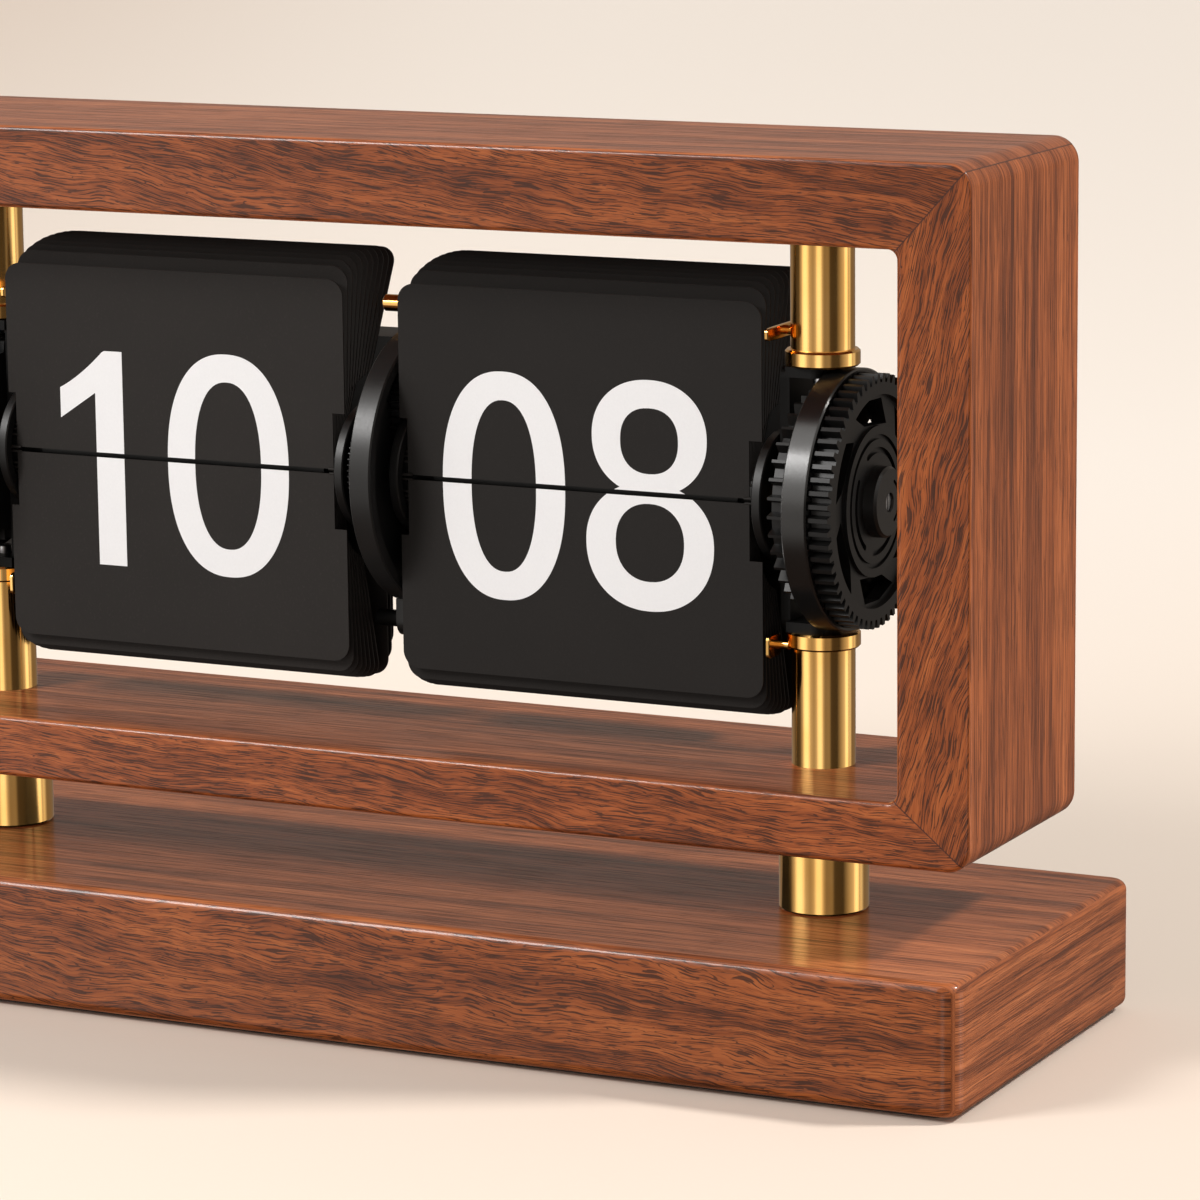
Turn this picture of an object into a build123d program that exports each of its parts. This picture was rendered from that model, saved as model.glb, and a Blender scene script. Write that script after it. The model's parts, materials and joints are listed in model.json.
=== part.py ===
"""Flip clock on a plinth: a mitred walnut frame, brass pillars, two drums of flap leaves and open wheelwork.

Millimetres, +Z up, the dial faces -Y.  The origin is the bottom centre of the whole clock.
The spindle runs along X at the height AXIS_Z.
"""
import os
from math import asin, cos, degrees, pi, radians, sin

from build123d import *

os.makedirs("parts", exist_ok=True)

# ---- plinth and foot pad
BASE_OVERHANG = 5.0
BASE_DEPTH = 92.0
BASE_HEIGHT = 25.7
BASE_CORNER = 4.0
BASE_ARRIS = 2.0
PAD_THICKNESS = 1.0
PAD_INSET = 4.0

# ---- frame of four mitred boards
FRAME_END_ROOM = 12.8
FRAME_DEPTH = 55.0
FRAME_HEIGHT = 133.0
STILE = 15.0
TOP_RAIL = 16.4
BOTTOM_RAIL = 12.4
FRAME_CORNER = 5.0
FRAME_INNER_CORNER = 2.0
FRAME_ARRIS = 1.0

# ---- pillars
PILLAR_STANDOFF = 5.0
PILLAR_RADIUS = 6.2
SPACER_RADIUS = 8.8
SPACER_HEIGHT = 16.3
COLLAR_RADIUS = 7.25
COLLAR_HEIGHT = 3.2
PILLAR_GAP = 51.6
SCREW_RADIUS = 2.0
SCREW_CLEARANCE = 0.2
SCREW_HEAD_RADIUS = 3.5
SCREW_HEAD_HEIGHT = 4.0
SCREW_GRIP = 16.0
COUNTERBORE_RADIUS = 4.5
COUNTERBORE_DEPTH = 10.0
STUD_RADIUS = 2.0
STUD_GRIP = 8.0

# ---- leaves
LEAF_WIDTH = 78.5
LEAF_HEIGHT = 38.0
LEAF_THICKNESS = 0.3
LEAF_CORNER = 3.5
LEAF_HEEL = 0.0
NOTCH_LEFT = 1.7
NOTCH_RIGHT = 2.7
NOTCH_HEIGHT = 11.2
EAR_RADIUS = 0.3
EAR_OFFSET = 0.3
EAR_CIRCLE = 9.6
REST_EAR_RADIUS = 0.25
REST_EAR_CIRCLE = 9.3
EAR_GROOVE = 2.0
EAR_TIP = 1.2
STACK_GAP = 12.4
FRONT_ANGLE = 3.0
UPPER_ANGLES = [18.5, 25.5, 31.5, 37.0, 42.0, 47.0, 52.0, 57.0, 62.0, 67.0]
LOWER_ANGLES = [18.5, 25.5, 31.5, 37.0, 42.0, 47.0, 52.0]
REAR_ANGLES = [188.0, 206.0, 222.0]
UPPER_PITCH = 2.3
LOWER_PITCH = 1.85

# ---- drums
DISC_RADIUS = 12.7
DISC_THICKNESS = 2.0
DRUM_CORE_RADIUS = 6.0
DRUM_RIB_INSET = 5.25
DRUM_RIB_RISE = 0.4
DRUM_RIB_DEPTH = 1.4
DRUM_RIB_WIDTH = 1.6
SLEEVE_RADIUS = 4.0
SLEEVE_NECK_RADIUS = 2.5
SPINDLE_RADIUS = 1.6
RUNNING = 0.05
PRESS = 0.01

# ---- wheels outside the end brackets
FINE_TEETH = 36
FINE_RADIUS = 20.8
FINE_TOOTH = 2.2
FINE_WIDTH = 4.4
FINE_STANDOFF = 2.5
RING_RADIUS = 25.4
RING_WALL = 2.2
RING_WIDTH = 5.1
RING_STANDOFF = 2.3
FACE_TEETH = 60
FACE_RADIUS = 24.6
FACE_TOOTH = 1.7
FACE_WIDTH = 4.0
KNOB_RADIUS = 6.9
KNOB_LENGTH = 3.5
KNOB_GROOVE_RADIUS = 4.3
KNOB_GROOVE_WIDTH = 0.7
KNOB_GROOVE_ANGLE = 60.0
WHEEL_GAP = 0.2

# ---- brackets and centre plate
BRACKET_THICKNESS = 2.0
BRACKET_GAP = 0.6
BRACKET_HALF = 4.5
BRACKET_EYE = 8.5
BRACKET_TAB_HALF = 5.5
BRACKET_TAB = 8.9
BRACKET_FLARE = 3.0
BRACKET_CORNER = 2.5
BUSH_RADIUS = 6.0
CENTRE_RADIUS = 28.0
CENTRE_BACK = 8.0
CENTRE_WIDTH = 4.7
CENTRE_RIM = 2.4
CENTRE_WEB = 1.6
CENTRE_FOOT = 0.8
BAR_RADIUS = 1.7
BAR_RISE = 32.0
BAR_TOP_Y = 7.5
BAR_BOTTOM_Y = 2.0
BAR_LENGTH = 11.2

# ---- movement housing
HOUSING_FRONT = 14.5
HOUSING_BACK = 27.4
HOUSING_TOP = 24.0
HOUSING_BOTTOM = 24.0
HOUSING_WALL = 1.2
CELL_RADIUS = 5.2
CELL_LENGTH = 44.5
CELL_X = 34.0
CELL_PITCH = 11.0
COVER_CLEARANCE = 0.3
PINION_TEETH = 8
PINION_ANGLE = -28.0
MESH_SLACK = 0.25

TAB_SCREW_RADIUS = 1.0
TAB_SCREW_HEAD = 1.9
TAB_SCREW_GRIP = 6.0
BOSS_RADIUS = 3.0
BOSS_BORE = 1.1
PINION_TIP_RADIUS = 5.28
DRIVE_SHAFT_RADIUS = 1.2
DRIVE_WHEEL_X = 64.0
DRIVE_WHEEL_WIDTH = 3.0
MOTOR_RADIUS = 5.0
MOTOR_SHAFT_RADIUS = 0.8
MOTOR_SHAFT_GRIP = 5.0
ARBOR_RADIUS = 1.0
BAR_DROP = 31.2
MOTOR_LENGTH = 18.0
DRIVE_MODULE = 0.5
DRIVE_WHEEL_TEETH = 16
MOTOR_TEETH = 8
TRANSFER_MODULE = 13.0 / 24
TRANSFER_ANGLE = 75.0
DRIVER_TEETH = 12
ARBOR_TEETH = 36
ARBOR_PINION_TEETH = 8
HOUR_TEETH = 64

# ---- derived places
BASE_TOP = PAD_THICKNESS + BASE_HEIGHT
FRAME_BOTTOM = BASE_TOP + SPACER_HEIGHT
RAIL_TOP = FRAME_BOTTOM + BOTTOM_RAIL
FRAME_TOP = FRAME_BOTTOM + FRAME_HEIGHT
TOP_RAIL_UNDER = FRAME_TOP - TOP_RAIL
AXIS_Z = (RAIL_TOP + TOP_RAIL_UNDER) / 2
GAP_TOP = AXIS_Z + PILLAR_GAP / 2
GAP_BOTTOM = AXIS_Z - PILLAR_GAP / 2
LEAF_INNER = STACK_GAP / 2
LEAF_OUTER = LEAF_INNER + LEAF_WIDTH
DISC_OUT = LEAF_OUTER + DISC_THICKNESS / 2
DISC_IN = LEAF_INNER - DISC_THICKNESS / 2
BRACKET_X0 = DISC_OUT + BRACKET_GAP
BRACKET_X1 = BRACKET_X0 + BRACKET_THICKNESS
FINE_X0 = BRACKET_X1 + FINE_STANDOFF
FINE_X1 = FINE_X0 + FINE_WIDTH
PILLAR_X = BRACKET_X1 + PILLAR_STANDOFF
RING_X0 = PILLAR_X + RING_STANDOFF
RING_X1 = RING_X0 + RING_WIDTH
FACE_X0 = RING_X1 + WHEEL_GAP
FACE_X1 = FACE_X0 + FACE_WIDTH
WEB_X1 = FACE_X1 - 1.2
KNOB_X1 = WEB_X1 + KNOB_LENGTH
FRAME_WIDTH = 2 * (KNOB_X1 + FRAME_END_ROOM + STILE)
BASE_LENGTH = FRAME_WIDTH + 2 * BASE_OVERHANG
SLEEVE_X0 = 2.1
CENTRE_X0 = 0.2
CENTRE_X1 = CENTRE_X0 + CENTRE_WIDTH
PLATE_BACK = HOUSING_BACK - HOUSING_WALL
FINE_PITCH_RADIUS = FINE_RADIUS - FINE_TOOTH / 2
PINION_PITCH_RADIUS = FINE_PITCH_RADIUS * PINION_TEETH / FINE_TEETH
PINION_DISTANCE = FINE_PITCH_RADIUS + PINION_PITCH_RADIUS + MESH_SLACK
PINION_Y = PINION_DISTANCE * cos(radians(PINION_ANGLE))
PINION_Z = AXIS_Z + PINION_DISTANCE * sin(radians(PINION_ANGLE))
DRIVE_DISTANCE = DRIVE_MODULE * (DRIVE_WHEEL_TEETH + MOTOR_TEETH) / 2 + 0.1
MOTOR_Z = PINION_Z + DRIVE_DISTANCE
TRANSFER_DISTANCE = TRANSFER_MODULE * (DRIVER_TEETH + ARBOR_TEETH) / 2 + 0.1
HOUR_MODULE = TRANSFER_MODULE * (DRIVER_TEETH + ARBOR_TEETH) / (ARBOR_PINION_TEETH + HOUR_TEETH)
TRANSFER_Y = TRANSFER_DISTANCE * cos(radians(TRANSFER_ANGLE))
TRANSFER_Z = AXIS_Z + TRANSFER_DISTANCE * sin(radians(TRANSFER_ANGLE))
CELL_Y = HOUSING_FRONT + HOUSING_WALL + CELL_RADIUS
HOUSING_HALF = BRACKET_X0
BAY_X0 = -CELL_X - CELL_LENGTH / 2 - 2.5
BAY_X1 = -CELL_X + CELL_LENGTH / 2 + 2.5
BAY_HALF = CELL_PITCH / 2 + CELL_RADIUS + 1.0


def box(x0, x1, y0, y1, z0, z1):
    """A box between two opposite corners."""
    return Pos((x0 + x1) / 2, (y0 + y1) / 2, (z0 + z1) / 2) * Box(x1 - x0, y1 - y0, z1 - z0)


def rod_x(radius, x0, x1, y=0.0, z=AXIS_Z):
    """A round bar along X."""
    return Pos((x0 + x1) / 2, y, z) * Rot(0, 90, 0) * Cylinder(radius, abs(x1 - x0))


def rod_y(radius, y0, y1, x, z):
    """A round bar along Y."""
    return Pos(x, (y0 + y1) / 2, z) * Rot(90, 0, 0) * Cylinder(radius, y1 - y0)


def rod_z(radius, z0, z1, x, y=0.0):
    """A round bar along Z."""
    return Pos(x, y, (z0 + z1) / 2) * Cylinder(radius, z1 - z0)


def tube_x(outer, inner, x0, x1, y=0.0, z=AXIS_Z):
    """A ring or tube along X."""
    return rod_x(outer, x0, x1, y, z) - rod_x(inner, x0 - 1, x1 + 1, y, z)


def slab_x(sketch, x0, x1, y=0.0, z=AXIS_Z):
    """A sketch drawn in (Y, Z) and extruded along X."""
    plane = Plane(origin=(x0, y, z), x_dir=(0, 1, 0), z_dir=(1, 0, 0))
    return extrude(plane * sketch, x1 - x0)


def mirror_x(shape):
    """The same shape on the other side of the clock."""
    return mirror(shape, about=Plane.YZ)


def save(name, *shapes):
    """Write one node; a node of several pieces keeps each as its own solid."""
    solids = [s for shape in shapes for s in shape.solids()]
    export_step(solids[0] if len(solids) == 1 else Compound(children=solids), f"parts/{name}.step")


def save_pair(name, shape):
    """Write a right-hand piece and its mirror image."""
    save(f"{name}_right", shape)
    save(f"{name}_left", mirror_x(shape))


# ---------------------------------------------------------------- woodwork
def plinth():
    """The base block, bored and counterbored from below for the two long screws."""
    body = box(-BASE_LENGTH / 2, BASE_LENGTH / 2, -BASE_DEPTH / 2, BASE_DEPTH / 2, PAD_THICKNESS, BASE_TOP)
    body = fillet(body.edges().filter_by(Axis.Z), BASE_CORNER)
    body = fillet(body.faces().filter_by(Axis.Z).edges(), BASE_ARRIS)
    for x in (-PILLAR_X, PILLAR_X):
        body -= rod_z(SCREW_RADIUS + SCREW_CLEARANCE, 0, BASE_TOP + 1, x)
        body -= rod_z(COUNTERBORE_RADIUS, 0, PAD_THICKNESS + COUNTERBORE_DEPTH, x)
    return body


def foot_pad():
    """The thin felt pad that the plinth stands on."""
    half_length = BASE_LENGTH / 2 - PAD_INSET
    half_depth = BASE_DEPTH / 2 - PAD_INSET
    pad = box(-half_length, half_length, -half_depth, half_depth, 0, PAD_THICKNESS)
    return fillet(pad.edges().filter_by(Axis.Z), BASE_CORNER - 1)


def whole_frame():
    """The frame ring before it is cut along its mitres."""
    half = FRAME_WIDTH / 2
    outer = box(-half, half, -FRAME_DEPTH / 2, FRAME_DEPTH / 2, FRAME_BOTTOM, FRAME_TOP)
    outer = fillet(outer.edges().filter_by(Axis.Y), FRAME_CORNER)
    reach = FRAME_DEPTH / 2 + 1
    inner = box(-half + STILE, half - STILE, -reach, reach, RAIL_TOP, TOP_RAIL_UNDER)
    inner = fillet(inner.edges().filter_by(Axis.Y), FRAME_INNER_CORNER)
    ring = outer - inner
    return fillet(ring.faces().filter_by(Axis.Y).edges(), FRAME_ARRIS)


def mitre_point(side, top, t):
    """A point on a mitre line: t is 0 at the inner corner and 1 at the outer corner."""
    inner_z, outer_z = (TOP_RAIL_UNDER, FRAME_TOP) if top else (RAIL_TOP, FRAME_BOTTOM)
    x = FRAME_WIDTH / 2 - STILE + STILE * t
    return (side * x, inner_z + (outer_z - inner_z) * t)


def board(ring, corners):
    """One mitred board: the part of the ring inside the wedge between two mitre lines."""
    (side_a, top_a), (side_b, top_b) = corners
    points = [mitre_point(side_a, top_a, -0.3), mitre_point(side_a, top_a, 1.4)]
    points += [mitre_point(side_b, top_b, 1.4), mitre_point(side_b, top_b, -0.3)]
    wedge = extrude(Plane.XZ * make_face(Polyline(*points, close=True)), FRAME_DEPTH, both=True)
    return ring & wedge


def woodwork():
    """The plinth, its pad and the four boards of the frame."""
    save("base_plinth", plinth())
    save("foot_pad", foot_pad())
    ring = whole_frame()
    top = board(ring, [(-1, True), (1, True)])
    bottom = board(ring, [(-1, False), (1, False)])
    for x in (-PILLAR_X, PILLAR_X):
        top -= rod_z(STUD_RADIUS + SCREW_CLEARANCE, TOP_RAIL_UNDER - 1, TOP_RAIL_UNDER + STUD_GRIP, x)
        bottom -= rod_z(SCREW_RADIUS + SCREW_CLEARANCE, FRAME_BOTTOM - 1, RAIL_TOP + 1, x)
    save("frame_top_rail", top)
    save("frame_bottom_rail", bottom)
    save("frame_right_stile", board(ring, [(1, False), (1, True)]))
    save("frame_left_stile", board(ring, [(-1, False), (-1, True)]))


# ---------------------------------------------------------------- pillars
def turned(x, profile):
    """A turned piece on a pillar axis from (radius, height) points."""
    face = make_face(Polyline(*[(r, 0, z) for r, z in profile], close=True))
    return Pos(x, 0, 0) * revolve(face, Axis.Z)


def bored_disc(x, radius, bore, z0, z1, chamfer_size):
    """A turned ring with small chamfers on its outer edges."""
    c = chamfer_size
    profile = [(bore, z0), (radius - c, z0), (radius, z0 + c), (radius, z1 - c), (radius - c, z1), (bore, z1)]
    return turned(x, profile)


def pillars():
    """The brass spacers, pillar halves and collars, and the screws and studs that hold them."""
    hole = SCREW_RADIUS + SCREW_CLEARANCE / 2
    save_pair("spacer", bored_disc(PILLAR_X, SPACER_RADIUS, SCREW_RADIUS + SCREW_CLEARANCE,
                                   BASE_TOP, FRAME_BOTTOM, 0.4))
    lower_tip = GAP_BOTTOM
    screw_end = RAIL_TOP + SCREW_GRIP
    lower = rod_z(PILLAR_RADIUS, RAIL_TOP, lower_tip, PILLAR_X)
    lower -= rod_z(hole, RAIL_TOP - 1, screw_end + 1, PILLAR_X)
    lower -= rod_z(TAB_SCREW_RADIUS + 0.1, lower_tip - TAB_SCREW_GRIP, lower_tip + 1, PILLAR_X)
    save_pair("pillar_lower", lower)
    upper = rod_z(PILLAR_RADIUS, GAP_TOP, TOP_RAIL_UNDER, PILLAR_X)
    upper -= rod_z(hole, TOP_RAIL_UNDER - STUD_GRIP, TOP_RAIL_UNDER + 1, PILLAR_X)
    upper -= rod_z(TAB_SCREW_RADIUS + 0.1, GAP_TOP - 1, GAP_TOP + TAB_SCREW_GRIP, PILLAR_X)
    save_pair("pillar_upper", upper)
    fit = PILLAR_RADIUS + PRESS
    collars = [bored_disc(PILLAR_X, COLLAR_RADIUS, fit, lower_tip - COLLAR_HEIGHT, lower_tip, 0.4),
               bored_disc(PILLAR_X, COLLAR_RADIUS, fit, GAP_TOP, GAP_TOP + COLLAR_HEIGHT, 0.4)]
    save("collars_right", *collars)
    save("collars_left", *[mirror_x(c) for c in collars])


def screw(radius, head_radius, head, seat, tip, socket):
    """A socket-head screw along the local Z axis: it seats at one height and its tip is at another."""
    away = -1 if tip > seat else 1
    body = rod_z(radius, min(seat, tip), max(seat, tip), 0)
    body += rod_z(head_radius, min(seat, seat + away * head), max(seat, seat + away * head), 0)
    drive = extrude(Pos(0, 0, seat + away * head) * RegularPolygon(socket, 6), -away * head * 0.55)
    return body - drive


def fixings():
    """Long base screws, the studs in the top rail, the bracket screws and the back-cover screws."""
    parts = []
    seat = PAD_THICKNESS + COUNTERBORE_DEPTH
    base = screw(SCREW_RADIUS, SCREW_HEAD_RADIUS, SCREW_HEAD_HEIGHT, seat, RAIL_TOP + SCREW_GRIP, 1.7)
    stud = rod_z(STUD_RADIUS, TOP_RAIL_UNDER - STUD_GRIP + 0.5, TOP_RAIL_UNDER + STUD_GRIP - 0.5, 0)
    grip = TAB_SCREW_GRIP - 0.5
    low_seat, high_seat = GAP_BOTTOM + BRACKET_THICKNESS, GAP_TOP - BRACKET_THICKNESS
    low = screw(TAB_SCREW_RADIUS, TAB_SCREW_HEAD, 1.5, low_seat, GAP_BOTTOM - grip, 0.9)
    high = screw(TAB_SCREW_RADIUS, TAB_SCREW_HEAD, 1.5, high_seat, GAP_TOP + grip, 0.9)
    for x in (-PILLAR_X, PILLAR_X):
        parts += [Pos(x, 0, 0) * piece for piece in (base, stud, low, high)]
    back = Rot(90, 0, 0) * screw(BOSS_BORE - 0.1, 1.9, 1.0, -HOUSING_BACK, -HOUSING_BACK + 7.0, 0.8)
    for x, z in boss_places():
        parts.append(Pos(x, 0, z) * back)
    save("fixing_screws", *parts)


# ---------------------------------------------------------------- leaves
def leaf(offset, ear_radius, left_edge=0.0):
    """One flap leaf standing up from its ear axis, which is the local X axis.

    It spans X from its left edge to LEAF_WIDTH, has a rounded free edge, a notch at each side
    beside the drum discs, and a round ear at each end of its heel.  The plate stands
    behind the ear axis by the offset, so a leaf that falls lands in front of the rest.
    """
    heel, top = -LEAF_HEEL, LEAF_HEIGHT
    middle = (left_edge + LEAF_WIDTH) / 2
    outline = Pos(middle, (heel + top) / 2) * Rectangle(LEAF_WIDTH - left_edge, top - heel)
    outline = fillet(outline.vertices().group_by(Axis.Y)[-1], LEAF_CORNER)
    outline -= Pos(NOTCH_LEFT / 2, (heel + NOTCH_HEIGHT) / 2) * Rectangle(NOTCH_LEFT, NOTCH_HEIGHT - heel)
    notch = Rectangle(NOTCH_RIGHT, NOTCH_HEIGHT - heel)
    outline -= Pos(LEAF_WIDTH - NOTCH_RIGHT / 2, (heel + NOTCH_HEIGHT) / 2) * notch
    plate = extrude(Plane(origin=(0, offset, 0), x_dir=(1, 0, 0), z_dir=(0, -1, 0)) * outline,
                    LEAF_THICKNESS / 2, both=True)
    ear_out = DISC_THICKNESS / 2 - EAR_TIP
    left = rod_x(ear_radius, ear_out, NOTCH_LEFT + 1, 0, 0)
    right = rod_x(ear_radius, LEAF_WIDTH - NOTCH_RIGHT - 1, LEAF_WIDTH - ear_out, 0, 0)
    return plate + left + right


def ear_place(circle, angle):
    """Where an ear sits on a circle round the spindle, in (Y, Z), for an angle up from the front."""
    return -circle * cos(radians(angle)), AXIS_Z + circle * sin(radians(angle))


def lean(ear_y, index, pitch):
    """How far a resting leaf leans back so that the free edges are a pitch apart."""
    front = ear_place(REST_EAR_CIRCLE, FRONT_ANGLE)[0]
    return degrees(asin((front + pitch * index - ear_y) / LEAF_HEIGHT))


def stack(falling, waiting, resting, x0):
    """The leaves of one drum: the front leaf that falls, then the upper, lower and rear leaves."""
    y, z = ear_place(EAR_CIRCLE, FRONT_ANGLE)
    front = Pos(x0, y, z) * falling
    upper, lower, rear = [], [], []
    for k, angle in enumerate(UPPER_ANGLES, start=1):
        y, z = ear_place(REST_EAR_CIRCLE, angle)
        upper.append(Pos(x0, y, z) * Rot(-lean(y, k, UPPER_PITCH), 0, 0) * waiting)
    hanging = mirror(resting, about=Plane.XY)
    for k, angle in enumerate([FRONT_ANGLE] + LOWER_ANGLES):
        y, z = ear_place(REST_EAR_CIRCLE, -angle)
        lower.append(Pos(x0, y, z) * Rot(lean(y, k, LOWER_PITCH), 0, 0) * hanging)
    for angle in REAR_ANGLES:
        y, z = ear_place(REST_EAR_CIRCLE, angle)
        rear.append(Pos(x0, y, z) * hanging)
    return front, upper, lower, rear


def leaves():
    """Both stacks; the hours stand left of the centre plate and the minutes right of it."""
    falling, resting = leaf(EAR_OFFSET, EAR_RADIUS), leaf(0, REST_EAR_RADIUS)
    waiting = leaf(0, REST_EAR_RADIUS, NOTCH_LEFT)
    for name, x0 in (("hour", -LEAF_OUTER), ("minute", LEAF_INNER)):
        front, upper, lower, rear = stack(falling, waiting, resting, x0)
        save(f"{name}_leaf_falling", front)
        save(f"{name}_leaves_upper", *upper)
        save(f"{name}_leaves_lower", *lower)
        save(f"{name}_leaves_rear", *rear)


# ---------------------------------------------------------------- wheels
def toothed(teeth, outer, depth, tip, root, phase=0.0):
    """The outline of a wheel in (Y, Z): straight-sided teeth with a tip and a root width in mm."""
    points = []
    inner = outer - depth
    for k in range(teeth):
        middle = phase + 2 * pi * k / teeth
        for radius, width, side in ((inner, root, -1), (outer, tip, -1), (outer, tip, 1), (inner, root, 1)):
            angle = middle + side * width / radius / 2
            points.append((radius * cos(angle), radius * sin(angle)))
    return make_face(Polyline(*points, close=True))


def disc(x0, x1, groove_side):
    """A drum disc with the ring groove that the leaves' ears ride in."""
    body = tube_x(DISC_RADIUS, SLEEVE_RADIUS + PRESS, x0, x1)
    body = chamfer(body.edges().filter_by(GeomType.CIRCLE).group_by(SortBy.RADIUS)[-1], 0.25)
    depth = DISC_THICKNESS / 2 + EAR_TIP - 0.4
    g0, g1 = (x1 - depth, x1 + 1) if groove_side > 0 else (x0 - 1, x0 + depth)
    return body - tube_x(EAR_CIRCLE + EAR_GROOVE / 2, EAR_CIRCLE - EAR_GROOVE / 2, g0, g1)


def arc_slot(radius, width, start, stop):
    """A slot along an arc, in (Y, Z), with round ends; angles in degrees."""
    middle = CenterArc((0, 0), radius, start, stop - start)
    return SlotArc(middle, width)


def face_wheel():
    """The coarse wheel: toothed rim, six slanted windows, a raised dial with arc grooves."""
    bore = SLEEVE_RADIUS + PRESS
    body = slab_x(toothed(FACE_TEETH, FACE_RADIUS, FACE_TOOTH, 0.85, 1.6), FACE_X0, FACE_X1)
    body -= rod_x(20.6, WEB_X1, FACE_X1 + 1)
    window = [(15.6 * cos(a), 15.6 * sin(a)) for a in (0.10, 0.80)]
    window += [(19.9 * cos(a), 19.9 * sin(a)) for a in (1.02, 0.67, 0.32)]
    for k in range(6):
        hole = Rot(0, 0, 60 * k) * make_face(Polyline(*window, close=True))
        body -= slab_x(hole, FACE_X0 - 1, FACE_X1 + 1)
    body += tube_x(14.6, bore, WEB_X1 - 0.5, FACE_X1 - 0.4)
    body -= tube_x(12.9, 12.0, FACE_X1 - 1.0, FACE_X1 + 1)
    for start, stop in ((20, 115), (150, 235), (262, 345)):
        body -= slab_x(arc_slot(9.9, 1.1, start, stop), FACE_X1 - 1.1, FACE_X1 + 1)
    return body - rod_x(bore, FACE_X0 - 1, FACE_X1 + 1)


def ring_wheel():
    """The smooth ring wheel: a broad rim on a thin web with round lightening holes."""
    bore = SLEEVE_RADIUS + PRESS
    rim = tube_x(RING_RADIUS, RING_RADIUS - RING_WALL, RING_X0, RING_X1)
    rim = chamfer(rim.edges().filter_by(GeomType.CIRCLE).group_by(SortBy.RADIUS)[-1], 0.3)
    middle = (RING_X0 + RING_X1) / 2
    web = tube_x(RING_RADIUS - RING_WALL + 0.5, bore, middle - 0.7, middle + 0.7)
    for k in range(8):
        a = radians(45 * k)
        web -= rod_x(3.4, middle - 2, middle + 2, 15.5 * cos(a), AXIS_Z + 15.5 * sin(a))
    return rim + web + tube_x(7.0, bore, RING_X0, RING_X1)


def fine_wheel():
    """The wheel of tall thin teeth that the motor pinion drives."""
    bore = SLEEVE_RADIUS + PRESS
    phase = radians(PINION_ANGLE)
    body = slab_x(toothed(FINE_TEETH, FINE_RADIUS, FINE_TOOTH, 0.6, 1.5, phase), FINE_X0, FINE_X1)
    body -= rod_x(16.0, FINE_X0 + 1.2, FINE_X1 + 1)
    body += rod_x(6.5, FINE_X0, FINE_X1)
    return body - rod_x(bore, FINE_X0 - 1, FINE_X1 + 1)


def knob():
    """The setting knob, with a dished end, a C groove and a recess for its screw."""
    bore = SLEEVE_RADIUS + PRESS
    x0 = FACE_X1 - 0.4
    body = rod_x(KNOB_RADIUS, x0, KNOB_X1)
    body = chamfer(body.edges().filter_by(GeomType.CIRCLE).sort_by(Axis.X)[-1], 0.5)
    body -= rod_x(bore, x0 - 1, KNOB_X1 - 1.6)
    body -= rod_x(1.9, x0, KNOB_X1 + 1)
    groove = arc_slot(KNOB_GROOVE_RADIUS, KNOB_GROOVE_WIDTH, -KNOB_GROOVE_ANGLE, KNOB_GROOVE_ANGLE)
    return body - slab_x(groove, KNOB_X1 - 0.5, KNOB_X1 + 1)


def knob_screw():
    """The small slotted screw in the end of the knob."""
    body = rod_x(1.8, KNOB_X1 - 1.6 + PRESS, KNOB_X1 - 0.5)
    return body - box(KNOB_X1 - 0.9, KNOB_X1, -0.25, 0.25, AXIS_Z - 2, AXIS_Z + 2)


def drum_core():
    """The core between a drum's two discs, with shallow flats moulded along it."""
    core = tube_x(DRUM_CORE_RADIUS, SLEEVE_RADIUS + PRESS, DISC_IN + DISC_THICKNESS, DISC_OUT - DISC_THICKNESS)
    length = DISC_OUT - DISC_IN - 2 * DISC_THICKNESS - 2 * DRUM_RIB_INSET
    rib = Pos(0, DRUM_CORE_RADIUS + DRUM_RIB_RISE, 0) * Box(length, DRUM_RIB_DEPTH, DRUM_RIB_WIDTH)
    for k in range(6):
        core += Pos((DISC_IN + DISC_OUT) / 2, 0, AXIS_Z) * Rot(60 * k, 0, 0) * rib
    return core


def wheelwork():
    """The two drums with all that turns with them; the hours are the mirror image of the minutes."""
    sleeve = rod_x(SLEEVE_RADIUS, DISC_IN, KNOB_X1 - 1.6) + rod_x(SLEEVE_NECK_RADIUS, SLEEVE_X0, DISC_IN + 1)
    sleeve -= rod_x(SPINDLE_RADIUS + RUNNING, SLEEVE_X0 - 1, KNOB_X1)
    pieces = {
        "sleeve": sleeve,
        "drum_core": drum_core(),
        "disc_inner": disc(DISC_IN, DISC_IN + DISC_THICKNESS, 1),
        "disc_outer": disc(DISC_OUT - DISC_THICKNESS, DISC_OUT, -1),
        "fine_wheel": fine_wheel(),
        "ring_wheel": ring_wheel(),
        "face_wheel": face_wheel(),
        "knob": knob(),
        "knob_screw": knob_screw(),
    }
    for name, shape in pieces.items():
        save(f"minute_{name}", shape)
        save(f"hour_{name}", mirror_x(shape))


# ---------------------------------------------------------------- reduction from minutes to hours
def spur(teeth, module, phase=0.0):
    """The outline of a small gear from its module, with room between meshing teeth."""
    return toothed(teeth, module * (teeth / 2 + 0.72), 1.75 * module, 0.5 * module, 1.35 * module, phase)


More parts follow.
